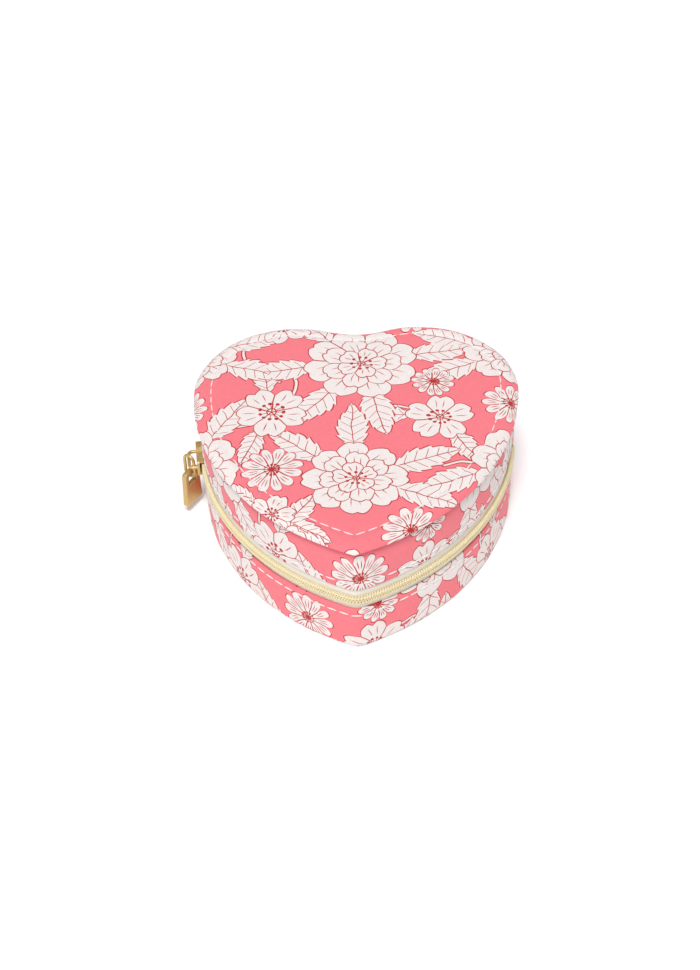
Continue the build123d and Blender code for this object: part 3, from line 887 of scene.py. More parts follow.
class CASE_OT_pull(bpy.types.Operator):
    """The loop on the slider's arch and the tab that hangs on it"""
    bl_idname = "case.pull"
    bl_label = "Pull"

    def execute(self, context):
        upper, lower = (Vector(JOINTS[name]["pos_m"]) for name in ("link_swing", "tab_swing"))
        self.loop((upper - lower).length)
        self.tab(lower.z)
        return {"FINISHED"}

    def loop(self, drop):
        """A wire loop whose round ends are drop apart."""
        low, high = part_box("pull_link")
        middle = (high.z - low.z - drop) / 2 - LOOP_WIRE / 2
        across = Vector((1, 0, 0))
        foot = Vector((0, -drop, 0))
        section = Matrix.Translation((0, 0, middle)) @ Matrix.Rotation(pi / 2, 4, "X")
        bm = bmesh.new()
        geometry = start_wire(bm, LOOP_WIRE / 2, section)
        geometry = turn_out(bm, geometry, Vector(), across, -pi, 14)
        geometry = draw_out(bm, geometry, foot)
        geometry = turn_out(bm, geometry, foot, across, -pi, 14)
        draw_out(bm, geometry, -foot)
        metal_piece("pull_loop", bm, pull_matrix("link_swing"), "link", "pull_link", 80)

    def tab(self, pivot_height):
        """A flat tab that widens to its foot, with a window for the loop."""
        low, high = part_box("pull_tab")
        head, foot = high.z - pivot_height, low.z - pivot_height
        shape = [(-TAB_TOP / 2, head), (TAB_TOP / 2, head), (TAB_FOOT / 2, foot), (-TAB_FOOT / 2, foot)]
        side, top = WINDOW_WIDE / 2, head - WINDOW_EDGE
        window = [(-side, top - WINDOW_TALL), (-side, top), (side, top), (side, top - WINDOW_TALL)]
        bm = bmesh.new()
        loops = []
        for points, radius in ((shape, 1.2 * MM), (window, 0.6 * MM)):
            ordered = rounded_outline(points, radius, 5)
            loops += add_loop(bm, [(x, y, -TAB_THICK / 2) for x, y in ordered])[1]
        made = bmesh.ops.triangle_fill(bm, use_beauty=True, use_dissolve=True, edges=loops)["geom"]
        made = bmesh.ops.extrude_face_region(bm, geom=of_kind(made, bmesh.types.BMFace))["geom"]
        bmesh.ops.translate(bm, vec=(0, 0, TAB_THICK), verts=verts_of(made))
        bmesh.ops.recalc_face_normals(bm, faces=bm.faces)
        rims = [edge for edge in bm.edges if edge.calc_face_angle(0) > radians(60)
                and abs(edge.verts[0].co.z - edge.verts[1].co.z) < MERGE]
        soften(bm, rims, 0.35 * MM, 3)
        metal_piece("pull_plate", bm, pull_matrix("tab_swing"), "pull", "pull_tab", 40)


class CASE_OT_stops(bpy.types.Operator):
    """End stops of the zip, with softened edges"""
    bl_idname = "case.stops"
    bl_label = "Zip stops"

    def execute(self, context):
        stops = (("zip_bottom_stop", "base"), ("zip_top_stop_lower", "base"), ("zip_top_stop_upper", "lid"))
        for node, body in stops:
            bm = bmesh.new()
            bm.from_mesh(frame["nodes"][node].data)
            bmesh.ops.remove_doubles(bm, verts=bm.verts, dist=1e-6)
            bmesh.ops.dissolve_limit(bm, angle_limit=radians(2), verts=bm.verts, edges=bm.edges)
            soften(bm, bm.edges[:], 0.18 * MM, 3)
            new_piece(node + "_soft", bm, "plated_gold", body, [node], 40)
        return {"FINISHED"}


# Hinge

HINGE_SHARE = 0.47          # share of each lobe that the bending panel takes, from the cleft
HINGE_STITCH = 1.6 * MM     # from the strip's edge to its stitches
HINGE_END = 0.02            # share of a lobe that is left unsewn at each end


class CASE_OT_hinge(bpy.types.Operator):
    """Cloth hinge: a panel behind the lobes that bends with the lid, its wings and the velvet inside"""
    bl_idname = "case.hinge"
    bl_label = "Hinge"

    def execute(self, context):
        outline = Outline()
        low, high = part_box("hinge_strip")
        thick = -wall_inset("hinge_strip")
        base_edge, lid_edge = zip_edges()
        panel_top = lid_edge + (base_edge - low.z)
        left, right = LEFT_WIDEST + 1 - HINGE_SHARE, ARC_COUNT + 1 + HINGE_SHARE
        first, last = float(LEFT_WIDEST), float(ARC_COUNT + RIGHT_WIDEST)
        self.strip("hinge_wing_left", outline, thick, low.z, high.z, first, left, "base")
        panel = self.strip("hinge_panel", outline, thick, low.z, panel_top, left, right, None)
        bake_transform(panel, "base", "lid", start=(0, 0, base_edge), end=(0, 0, lid_edge))
        self.strip("hinge_wing_right", outline, thick, low.z, high.z, right, last, "base")
        stitch_row("hinge_stitches", "base", outline, -thick, low.z + HINGE_STITCH,
                   first + HINGE_END, last - HINGE_END)
        stitch_row("hinge_lid_stitches", "lid", outline, -thick, panel_top - HINGE_STITCH,
                   left + HINGE_END, right - HINGE_END)

        low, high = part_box("hinge_lining")
        inset = wall_inset("hinge_lining")
        face = inset + sizes().cloth
        profile = [(inset, low.z), (inset, high.z), (face, high.z), (face, low.z)]
        bm = sweep(profile, outline, 0.25 * MM, MM, left, right)
        velvet = new_piece("hinge_velvet", bm, "short_velvet", None, ["hinge_lining"])
        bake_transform(velvet, "base", "lid", start=(0, 0, base_edge), end=(0, 0, high.z))
        return {"FINISHED"}

    def strip(self, name, outline, thick, low, high, first, last, body):
        """A length of printed strip laid on the walls."""
        profile = [(0.0, low), (-thick, low), (-thick, high), (0.0, high)]
        bm = sweep(profile, outline, 0.35 * thick, ROW, first, last)
        wall_coordinates(bm, outline, (0.35, 0.3))
        layer = bm.verts.layers.float["place"]
        for vert in bm.verts:
            vert.co += outline.outward(vert[layer]) * 0.1 * MM * uneven(vert.co, 9 * MM, 6)
        return new_piece(name, bm, "printed_cotton", body, ["hinge_strip"])


# Inside

TAPE_BACK = 1.6 * MM        # from the wall's outline to where the linings' edges meet the tapes
LINING_HEM = 0.25 * MM      # thickness of the velvet that is turned over an edge
INSIDE_TIP = 1.5 * MM       # least rounding of the tip inside the case


class CASE_OT_linings(bpy.types.Operator):
    """Velvet on the walls, turned over their edges, the lid's ceiling and the floor pad"""
    bl_idname = "case.linings"
    bl_label = "Linings"

    def execute(self, context):
        inset = wall_inset("base_wall_lining")
        face = inset + sizes().cloth
        self.base(inset, face)
        self.lid(inset, face)
        self.floor(inset, face)
        return {"FINISHED"}

    def base(self, inset, face):
        """Lining of the base's wall."""
        outline = Outline()
        low, high = (corner.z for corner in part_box("base_wall_lining"))
        edge = high + LINING_HEM
        profile = [(inset, low - MM), (face, low - MM), (face, edge), (TAPE_BACK, edge), (TAPE_BACK, high),
                   (inset, high)]
        bm = sweep(profile, outline, 0.2 * MM, 1.5 * MM)
        layer = bm.verts.layers.float["place"]
        for vert in bm.verts:
            vert.co -= outline.outward(vert[layer]) * 0.12 * MM * uneven(vert.co, 8 * MM, 12)
        new_piece("base_velvet", bm, "short_velvet", "base", ["base_wall_lining"])

    def lid(self, inset, face):
        """Lining of the lid's wall and ceiling, in one piece."""
        low, high = (corner.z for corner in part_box("lid_lining"))
        ceiling = high - sizes().cloth
        hem = LINING_HEM
        rim = [(inset, high), (inset, low), (TAPE_BACK, low), (TAPE_BACK, low - hem),
               (face - hem, low - hem), (face, low + hem), (face, 0.7 * low + 0.3 * ceiling),
               (face, 0.3 * low + 0.7 * ceiling), (face, ceiling - hem), (face + 2 * hem, ceiling),
               (3 * face, ceiling)]
        bm = heart_cap(tip_outlines(INSIDE_TIP), rim, -0.2 * MM)
        new_piece("lid_velvet", bm, "short_velvet", "lid", ["lid_lining"])

    def floor(self, inset, face):
        """Padded floor of the base."""
        low, high = (corner.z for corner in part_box("base_floor_pad"))
        rim = [(inset + 1.5 * MM, low), (inset + 0.3 * MM, low + 0.3 * MM), (inset + 0.2 * MM, high - MM),
               (face + 0.3 * MM, high - 0.35 * MM), (face + 1.5 * MM, high - 0.05 * MM), (2.2 * face, high)]
        bm = heart_cap(tip_outlines(INSIDE_TIP), rim, 0.25 * MM)
        bmesh.ops.holes_fill(bm, edges=bm.edges, sides=0)
        for vert in bm.verts:
            vert.co.z += 0.1 * MM * uneven(vert.co, 12 * MM, 21) * (vert.co.z - low) / (high - low)
        piece = new_piece("floor_cushion", bm, "short_velvet", "base", ["base_floor_pad"])


ROLL_ROUND_FROM = 0.93      # share of a roll's half length where its end begins to draw in
ROLL_END_SIZE = 0.6         # size of the drawn-in end for the roll's own
ROLL_END_HOLLOW = 0.9 * MM  # depth of the hollow in its end


def half_width(outline, y, inset):
    """Half the heart's inside width at a given depth."""
    away = y - outline.lobe_y
    arc = outline.arcs[1] if away > 0 else outline.arcs[2]
    return arc.centre[0] + sqrt((arc.radius - inset) ** 2 - away ** 2)


class CASE_OT_rolls(bpy.types.Operator):
    """Padded ring rolls: round crowns, sides that press on each other and drawn-in ends"""
    bl_idname = "case.rolls"
    bl_label = "Ring rolls"

    def execute(self, context):
        for node in sorted(name for name in frame["nodes"] if name.startswith("ring_roll_")):
            self.roll(node)
        return {"FINISHED"}

    def roll(self, node):
        """One roll, from a cylinder of half length and radius 1 along x."""
        outline = Outline()
        lining = wall_inset("base_wall_lining") + sizes().cloth + 0.5 * MM
        low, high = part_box(node)
        middle, half = (low + high) / 2, (high - low) / 2
        bm = bmesh.new()
        bmesh.ops.create_cone(bm, cap_ends=True, segments=28, radius1=1, radius2=1, depth=2,
                              matrix=Matrix.Rotation(pi / 2, 4, "Y"))
        lengthwise = [edge for edge in bm.edges if abs(edge.verts[0].co.x - edge.verts[1].co.x) > 1]
        bmesh.ops.subdivide_edges(bm, edges=lengthwise, cuts=60)
        caps = [face for face in bm.faces if len(face.verts) > 4]
        for _ in range(3):
            bmesh.ops.inset_individual(bm, faces=caps, thickness=0.25)
        for vert in bm.verts:
            along = vert.co.x
            from_axis = sqrt(vert.co.y ** 2 + vert.co.z ** 2)
            at_end = abs(along) > 0.999
            drawn_in = max((abs(along) - ROLL_ROUND_FROM) / (1 - ROLL_ROUND_FROM), 0)
            round_off = sqrt(max(1 - (0.8 * drawn_in) ** 2, 0))
            if at_end and from_axis < 0.99:
                round_off = ROLL_END_SIZE
            y = middle.y + vert.co.y * half.y * round_off
            z = middle.z + vert.co.z * half.z * (0.35 + 0.65 * round_off)
            x = along * half_width(outline, y, lining)
            if at_end:
                x -= ROLL_END_HOLLOW * (1 - from_axis) * (1 if along > 0 else -1)
            wrinkle = 0.18 * MM * uneven(Vector((x, y, z)), 5 * MM, 3)
            wrinkle *= 0.4 + 0.6 * dip(1 - abs(along), 0.2)
            vert.co = (x, y + wrinkle * vert.co.y, max(z + wrinkle * vert.co.z, low.z))
        piece = new_piece("soft_" + node, bm, "short_velvet", "base", [node], 120)


class CASE_OT_dividers(bpy.types.Operator):
    """Velvet-covered boards with rounded tops"""
    bl_idname = "case.dividers"
    bl_label = "Dividers"

    def execute(self, context):
        for node in ("cross_divider", "tip_divider"):
            low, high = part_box(node)
            bm = bmesh.new()
            bmesh.ops.create_cube(bm, size=1, matrix=Matrix.Translation((low + high) / 2)
                                  @ Matrix.Diagonal((*(high - low), 1)))
            top = [edge for edge in bm.edges if all(vert.co.z > high.z - MM for vert in edge.verts)]
            soften(bm, top, 1.0 * MM, 5)
            new_piece("soft_" + node, bm, "short_velvet", "base", [node], 60)
        return {"FINISHED"}


GROUND_WIDE, GROUND_DEEP = 1.8 * MM, 0.25 * MM      # the mirror's ground edge


class CASE_OT_mirror(bpy.types.Operator):
    """Mirror in the lid, with a ground edge"""
    bl_idname = "case.mirror"
    bl_label = "Mirror"

    def execute(self, context):
        low, high = (corner.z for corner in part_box("mirror"))
        inset = wall_inset("mirror")
        rim = [(inset + GROUND_WIDE, high), (inset, high), (inset, low + GROUND_DEEP),
               (inset + GROUND_WIDE, low), (inset + 4 * GROUND_WIDE, low)]
        bm = heart_cap(tip_outlines(INSIDE_TIP), rim, shares=(0.5, 0.1))
        bmesh.ops.holes_fill(bm, edges=bm.edges, sides=0)
        new_piece("mirror_plate", bm, "silvered_glass", "lid", ["mirror"], 5)
        return {"FINISHED"}


class CASE_OT_boards(bpy.types.Operator):
    """Grey board inside the walls: CAD nodes that stay, with a finish of their own"""
    bl_idname = "case.boards"
    bl_label = "Boards"

    def execute(self, context):
        for node in ("base_board", "base_wall_board", "lid_board", "lid_wall_board"):
            mesh = frame["nodes"][node].data
            mesh.materials.clear()
            mesh.materials.append(bpy.data.materials["grey_board"])
        return {"FINISHED"}


# Shader nodes

class Field:
    """A number that varies over a surface: arithmetic on it adds math nodes to its tree."""

    def __init__(self, nodes, socket):
        self.nodes = nodes
        self.socket = socket

    def math(self, operation, *others):
        return self.nodes.math(operation, self, *others)

    def __add__(self, other):
        return self.math("ADD", other)

    def __sub__(self, other):
        return self.math("SUBTRACT", other)

    def __mul__(self, other):
        return self.math("MULTIPLY", other)

    def __truediv__(self, other):
        return self.math("DIVIDE", other)

    def __pow__(self, other):
        return self.math("POWER", other)

    def __abs__(self):
        return self.math("ABSOLUTE")

    def __rsub__(self, other):
        return self.nodes.math("SUBTRACT", other, self)

    __radd__ = __add__
    __rmul__ = __mul__

    def fraction(self):
        return self.math("FRACT")

    def clamped(self):
        return self.nodes.math("ADD", self, 0.0, clamp=True)

    def over(self, other):
        return self.math("MAXIMUM", other)

    def under(self, other):
        return self.math("MINIMUM", other)


class Nodes:
    """Short ways to add and join nodes in one material's tree."""

    def __init__(self, material):
        self.tree = material.node_tree
        self.shader = next(node for node in self.tree.nodes if node.type == "BSDF_PRINCIPLED")

    def add(self, kind, *values, **settings):
        """A new node with its settings, and with values on its first sockets."""
        node = self.tree.nodes.new("ShaderNode" + kind)
        for name, value in settings.items():
            setattr(node, name, value)
        for socket, value in zip(node.inputs, values):
            self.feed(socket, value)
        return node

    def feed(self, socket, value):
        """Links a field or an output to a socket, or sets a plain value on it."""
        if isinstance(value, Field):
            value = value.socket
        if isinstance(value, bpy.types.NodeSocket):
            self.tree.links.new(value, socket)
        else:
            socket.default_value = value

    def surface(self, values):
        """Feeds the shader's sockets by name."""
        for name, value in values.items():
            self.feed(self.shader.inputs[name], value)

    def object_point(self):
        return self.add("TexCoord").outputs["Object"]

    def cloth_point(self):
        """Places on the cloth, in mm."""
        uv = self.add("UVMap", uv_map="cloth").outputs[0]
        return self.vector("MULTIPLY", uv, (CLOTH_UNIT / MM,) * 3)

    def math(self, operation, *values, clamp=False):
        return Field(self, self.add("Math", *values, operation=operation, use_clamp=clamp).outputs[0])

    def vector(self, operation, *values):
        return self.add("VectorMath", *values, operation=operation).outputs["Vector"]

    def reach(self, vector):
        """The length of a vector."""
        return Field(self, self.add("VectorMath", vector, operation="LENGTH").outputs["Value"])

    def separate(self, vector):
        return [Field(self, socket) for socket in self.add("SeparateXYZ", vector).outputs]

    def combine(self, x, y, z):
        return self.add("CombineXYZ", x, y, z).outputs[0]

    def mix_colour(self, share, first, second, blend="MIX"):
        node = self.add("Mix", share, data_type="RGBA", blend_type=blend, clamp_factor=True)
        self.feed(node.inputs[6], first)
        self.feed(node.inputs[7], second)
        return node.outputs[2]

    def mix_vector(self, share, first, second):
        node = self.add("Mix", share, data_type="VECTOR")
        self.feed(node.inputs[4], first)
        self.feed(node.inputs[5], second)
        return node.outputs[1]

    def shades(self, share, tone, darkest):
        """A colour that varies from a share of its own brightness to the whole."""
        dark = tuple(channel * darkest for channel in tone)
        return self.mix_colour(share, (*dark, 1), (*tone, 1))

    def noise_node(self, point, scale, detail, roughness):
        node = self.add("TexNoise", point)
        node.inputs["Scale"].default_value = scale
        node.inputs["Detail"].default_value = detail
        node.inputs["Roughness"].default_value = roughness
        return node

    def noise(self, point, scale, detail=2.0, roughness=0.5):
        return Field(self, self.noise_node(point, scale, detail, roughness).outputs[0])

    def bump(self, height, strength, distance):
        node = self.add("Bump")
        node.inputs["Strength"].default_value = strength
        node.inputs["Distance"].default_value = distance
        self.feed(node.inputs["Height"], height)
        return node.outputs[0]


def new_material(name):
    """An empty material with a surface shader: gives its nodes."""
    material = bpy.data.materials.new(name)
    if material.name != name:
        raise RuntimeError("a material named " + name + " is already there")
    material.use_nodes = True
    return Nodes(material)


# Print: flowers and leaves, drawn from formulas in mm on the cloth

PRINT_TILE = 120.0          # the print repeats after this much both ways
EDGE_BLUR = 0.12            # softness of every printed edge
LINE = 0.43                 # thickness of an outline
INK = 0.97                  # strength of the drawn lines
WOBBLE = 2.6                # how far the hand of the drawing strays
# Middle x and y, size and turn in degrees, of each flower
BLOOMS = ((24, 32, 20, 10), (86, 88, 21.5, 40), (84, 24, 18.5, 70), (22, 94, 18, 25))
BLOSSOMS = ((54, 60, 13.5, 15), (114, 56, 12.5, 50), (56, 112, 11.5, 0), (55, 7, 9.5, 30))
DAISIES = ((55, 29, 11, 0), (20, 64, 10.5, 12), (104, 118, 11, 5), (112, 76, 8, 5))
# Ways in degrees in which leaves stand out from each flower
BLOOM_LEAVES = ((60, 200, 262, 312), (12, 130, 188, 236, 282), (22, 92, 140, 340), (84, 160, 205, 338, 20))
BLOSSOM_LEAVES = ((100, 250), (175, 300), (60, 190), (140, 325))
LEAF = 12.5                 # half a leaf's length by a bloom
SMALL_LEAF = 9.5            # and by a blossom
LEAF_TEETH = 3.1            # teeth, and veins, on half a leaf's length
# Middle x and y, radius and turn in degrees, of each curved stem
STEMS = ((40, 74, 22, -30), (98, 44, 18, 120), (62, 96, 20, 200), (4, 8, 24, 60))


def inside(distance):
    """1 where a distance is below 0, with a soft edge."""
    return (0.5 - distance / EDGE_BLUR).clamped()


def stroke(distance, width):
    """1 on a drawn line, at distance 0."""
    return (0.5 + (width / 2 - abs(distance)) / EDGE_BLUR).clamped()


def lay_over(below, above):
    """Lays one printed layer, its white and its lines, over another."""
    return below[0].over(above[0]), (below[1] * (1 - above[0])).over(above[1])


def nearest(nodes, point, motifs, slimness=1.0):
    """Local coordinates and size of the nearest of a list of motifs, on the repeating cloth."""
    kept = kept_distance = None
    half = PRINT_TILE / 2
    for x, y, size, turn in motifs:
        offset = nodes.vector("SUBTRACT", point, (x, y, 0))
        offset = nodes.vector("WRAP", offset, (half,) * 3, (-half,) * 3)
        rotate = nodes.add("VectorRotate", offset, rotation_type="Z_AXIS")
        rotate.inputs["Angle"].default_value = -radians(turn)
        turned = rotate.outputs[0]
        distance = nodes.reach(nodes.vector("MULTIPLY", turned, (1 / size, 1 / (size * slimness), 0)))
        local = nodes.vector("MULTIPLY_ADD", turned, (1, 1, 0), (0, 0, size))
        if kept is None:
            kept, kept_distance = local, distance
        else:
            kept = nodes.mix_vector(distance.math("LESS_THAN", kept_distance), kept, local)
            kept_distance = kept_distance.under(distance)
    return nodes.separate(kept)


def polar(x, y):
    """Radius and angle about a motif's middle."""
    return (x * x + y * y) ** 0.5, y.math("ARCTAN2", x)


def petal_ring(spot, size, petals, turn, cleft, notch, fullness=2.4):
    """One ring of petals about a flower's middle, given by radius and angle: its white and its lines."""
    radius, way = spot
    petal = (way * (petals / TAU) + turn).fraction() - 0.5
    side = abs(petal) * 2
    dent = (1 - side * 4).clamped()
    edge = size * (1 - side ** fullness * cleft - dent * notch)
    white = inside(radius - edge)
    between = (1 - side) * radius * (pi / petals)
    vein = abs(abs(petal) - 0.15) * radius * (TAU / petals)
    veined = inside(abs(radius / size - 0.62) - 0.13)
    drawn = stroke(between, LINE).over(stroke(vein, 0.7 * LINE) * veined)
    return white, stroke(radius - edge, LINE).over(drawn * white)


def draw_eye(flower, spot, size, spots):
    """Adds a flower's eye to its lines: a ring of spots on stalks round a drawn middle."""
    radius, way = spot
    white, line = flower
    aside = ((way * (spots / TAU)).fraction() - 0.5) * (TAU / spots) * radius
    dots = inside((aside * aside + (radius - size) ** 2) ** 0.5 - 0.18 * size)
    stalks = stroke(aside, 0.6 * LINE) * inside(radius - size) * inside(0.35 * size - radius)
    return white, line.over(dots.over(stalks).over(stroke(radius - 0.35 * size, LINE)))


def draw_bloom(x, y, size):
    """A full flower with three rings of petals."""
    spot = polar(x, y)
    layer = petal_ring(spot, size, 8, 0.0, 0.2, 0.05)
    layer = lay_over(layer, petal_ring(spot, size * 0.7, 7, 0.25, 0.24, 0.06))
    layer = lay_over(layer, petal_ring(spot, size * 0.43, 5, 0.1, 0.3, 0.07))
    return draw_eye(layer, spot, size * 0.17, 9)


def draw_blossom(x, y, size):
    """An open flower of five petals."""
    spot = polar(x, y)
    return draw_eye(petal_ring(spot, size, 5, 0.0, 0.34, 0.13), spot, size * 0.3, 11)


def draw_daisy(x, y, size):
    """A small flower of many narrow petals."""
    spot = polar(x, y)
    return draw_eye(petal_ring(spot, size, 12, 0.0, 0.42, 0.0, 3.0), spot, size * 0.24, 13)


def draw_leaf(x, y, size):
    """A toothed leaf along local x, with its midrib, veins and stalk."""
    along = x / size
    taper = (1 - along * along).over(0.0) ** 0.8
    tooth = (along * LEAF_TEETH + 0.2).fraction()
    half = size * 0.46 * taper * (1 - along * 0.28) * (0.86 + tooth * 0.22)
    distance = (abs(y) - half).over((abs(along) - 1) * size)
    white = inside(distance)
    rib = stroke(y, 0.9 * LINE) * inside(abs(along) - 0.88)
    slant = ((along * LEAF_TEETH + 0.75 - abs(y) / size * 2.2).fraction() - 0.5) * size / LEAF_TEETH
    veins = stroke(slant, 0.65 * LINE) * inside(abs(y) - half * 0.78)
    outline = stroke(distance, LINE) * inside(abs(along) - 1.02)
    stalk_distance = (abs(y) - 0.5).over(abs(along + 1.2) - 0.3)
    stalk_line = stroke(stalk_distance, LINE) * (1 - white)
    return white.over(inside(stalk_distance)), outline.over(rib.over(veins) * white).over(stalk_line)


def draw_stem(x, y, size):
    """A curved stem: a white arc with drawn edges."""
    radius, way = polar(x, y)
    distance = (abs(radius - size) - 0.65).over((abs(way) - 0.95) * size)
    return inside(distance), stroke(distance, LINE)


def leaves_round(flowers, flower_ways, half_length):
    """Places of the leaves that stand out from flowers."""
    leaves = []
    for (x, y, size, _), ways in zip(flowers, flower_ways):
        out = size + 0.72 * half_length
        for way in ways:
            leaves.append((x + out * cos(radians(way)), y + out * sin(radians(way)), half_length, way))
    return leaves


def print_layers(nodes, point):
    """White and lines of the whole print."""
    stray = nodes.noise_node(point, 0.11, 1.0, 0.5).outputs[1]
    stray = nodes.vector("SUBTRACT", stray, (0.5, 0.5, 0.5))
    point = nodes.vector("MULTIPLY_ADD", stray, (WOBBLE, WOBBLE, 0), point)
    layers = [draw_stem(*nearest(nodes, point, [stem])) for stem in STEMS]
    small_leaves = leaves_round(BLOSSOMS, BLOSSOM_LEAVES, SMALL_LEAF)
    for leaves in (small_leaves, leaves_round(BLOOMS, BLOOM_LEAVES, LEAF)):
        layers.append(draw_leaf(*nearest(nodes, point, leaves, slimness=0.6)))
    for draw, flowers in ((draw_daisy, DAISIES), (draw_blossom, BLOSSOMS), (draw_bloom, BLOOMS)):
        layers.append(draw(*nearest(nodes, point, flowers)))
    whole = layers[0]
    for layer in layers[1:]:
        whole = lay_over(whole, layer)
    return whole


# Finishes

WEAVE_PITCH = 0.55                          # between two threads of the cotton or of the tape, in mm
SLUBS = ((0.35, 2.2, 1), (2.2, 0.35, 1))    # uneven threads of the weft and of the warp, per mm
TAPE_ROW = 1.6 * MM                         # height of one row of the tape's herringbone
THREAD_TWIST = 0.35 * MM                    # pitch of the sewing thread's twist


def weave(nodes, point):
    """Height of a plain weave."""
    warp, weft = ((across * (TAU / WEAVE_PITCH)).math("SINE") for across in nodes.separate(point)[:2])
    return warp * weft * 0.5 + 0.5


def printed_cotton():
    """Plain-woven cotton with a floral print."""
    nodes = new_material("printed_cotton")
    paint = colours()
    point = nodes.cloth_point()
    white, line = print_layers(nodes, point)
    tint = nodes.mix_colour(white, (*paint.ground, 1), (*paint.motif, 1))
    tint = nodes.mix_colour(line * INK, tint, (*paint.outline, 1))
    fibre = nodes.noise(point, 1.9, detail=3.0, roughness=0.7)
    cloud = nodes.noise(point, 0.05)
    threads = weave(nodes, point)
    weft, warp = (nodes.noise(nodes.vector("MULTIPLY", point, stretch), 1.0) for stretch in SLUBS)
    slubs = weft + warp
    shade = 0.78 + slubs * 0.17 + threads * 0.05 + cloud * 0.04
    nodes.surface({
        "Base Color": nodes.mix_colour(1.0, tint, nodes.combine(shade, shade, shade), "MULTIPLY"),
        "Roughness": 0.85,
        "Specular IOR Level": 0.25,
        "Sheen Weight": 0.12,
        "Sheen Roughness": 0.5,
        "Normal": nodes.bump(threads * 0.6 + fibre * 0.4 + slubs * 0.5, 0.5, 0.08 * MM),
    })


def short_velvet():
    """Short-pile velvet with painted sheen: noise patches are painted lighter, as light catches leaning
    pile.
    """
    nodes = new_material("short_velvet")
    point = nodes.object_point()
    painted_sheen = nodes.noise(point, 90.0, detail=3.0)
    pile = nodes.noise(point, 2600.0, roughness=0.7)
    nodes.surface({
        # painted sheen: the broad noise lightens the velvet's colour in patches, standing in for light on
        # leaning pile
        "Base Color": nodes.shades(painted_sheen * 0.9 + pile * 0.3 - 0.1, colours().velvet, 0.8),
        "Roughness": 0.95,
        "Specular IOR Level": 0.15,
        "Sheen Weight": 0.6,
        "Sheen Roughness": 0.35,
        "Normal": nodes.bump(pile, 0.4, 0.12 * MM),
    })


def woven_tape():
    """Herringbone-woven tape."""
    nodes = new_material("woven_tape")
    point = nodes.object_point()
    x, y, z = nodes.separate(point)
    rows = abs((z / TAPE_ROW).fraction() - 0.5)
    twill = ((x - y + rows * TAPE_ROW) * (TAU / (WEAVE_PITCH * MM))).math("SINE")
    thread = nodes.noise(point, 1500.0)
    nodes.surface({
        "Base Color": nodes.shades(twill * 0.3 + thread * 0.5 + 0.3, colours().tape, 0.86),
        "Roughness": 0.8,
        "Specular IOR Level": 0.25,
        "Sheen Weight": 0.1,
        "Normal": nodes.bump(twill * 0.5 + thread, 0.35, 0.06 * MM),
    })


def satin_nylon():
    """Satin nylon, slightly translucent."""
    nodes = new_material("satin_nylon")
    cloud = nodes.noise(nodes.object_point(), 700.0)
    nodes.surface({
        "Base Color": nodes.shades(cloud, colours().coil, 0.88),
        "Roughness": 0.38 + cloud * 0.15,
        "Subsurface Weight": 0.1,
        "Subsurface Radius": (0.6 * MM, 0.5 * MM, 0.3 * MM),
        "Normal": nodes.bump(cloud, 0.1, 0.05 * MM),
    })


def sewing_thread():
    """Twisted sewing thread."""
    nodes = new_material("sewing_thread")
    x, y, z = nodes.separate(nodes.object_point())
    twist = ((x + y + z) * (TAU / THREAD_TWIST)).math("SINE")
    nodes.surface({
        "Base Color": nodes.shades(twist * 0.4 + 0.6, colours().thread, 0.88),
        "Roughness": 0.7,
        "Sheen Weight": 0.1,
        "Normal": nodes.bump(twist, 0.3, 0.04 * MM),
    })


def plated_gold():
    """Light gold plating, finely brushed, duller in patches."""
    nodes = new_material("plated_gold")
    point = nodes.object_point()
    brushed = nodes.noise(nodes.vector("MULTIPLY", point, (1.0, 1.0, 14.0)), 500.0, detail=3.0)
    worn = nodes.noise(point, 260.0)
    nodes.surface({
        "Base Color": nodes.shades(worn, colours().gold, 0.82),
        "Metallic": 0.7,
        "Roughness": 0.36 + brushed * 0.16 + worn * 0.1,
        "Normal": nodes.bump(brushed, 0.08, 0.03 * MM),
    })


def silvered_glass():
    """Silvered glass with a faint bloom."""
    nodes = new_material("silvered_glass")
    haze = nodes.noise(nodes.object_point(), 40.0, detail=4.0)
    nodes.surface({
        "Base Color": nodes.mix_colour(haze, (0.82, 0.85, 0.86, 1), (0.9, 0.92, 0.92, 1)),
        "Metallic": 1.0,
        "Roughness": 0.02 + haze * 0.05,
    })


def grey_board():
    """Pressed grey board with flecks."""
    nodes = new_material("grey_board")
    fleck = nodes.noise(nodes.object_point(), 900.0, detail=4.0, roughness=0.7)
    nodes.surface({
        "Base Color": nodes.shades(fleck, colours().board, 0.65),
        "Roughness": 0.95,
        "Normal": nodes.bump(fleck, 0.3, 0.1 * MM),
    })


class CASE_OT_materials(bpy.types.Operator):
    """Finishes of the cloths, the zip, the metal, the mirror and the board"""
    bl_idname = "case.materials"
    bl_label = "Materials"

    def execute(self, context):
        for finish in (printed_cotton, short_velvet, woven_tape, satin_nylon, sewing_thread, plated_gold,
                       silvered_glass, grey_board):
            finish()
        return {"FINISHED"}


# Stage

FLOOR_HALF = 60.0                           # half the floor's width, in metres
KEY_WAY = Vector((0.04, 0.43, -0.9))        # the way the soft light in front shines
KEY_SOFTNESS = radians(16)
LAMP_AIM = Vector((0, 0, 20 * MM))
LAMPS = (("fill", (-0.6, -0.6, 0.5), 0.4), ("back", (0.4, 0.6, 0.6), 0.5))      # name, place and width


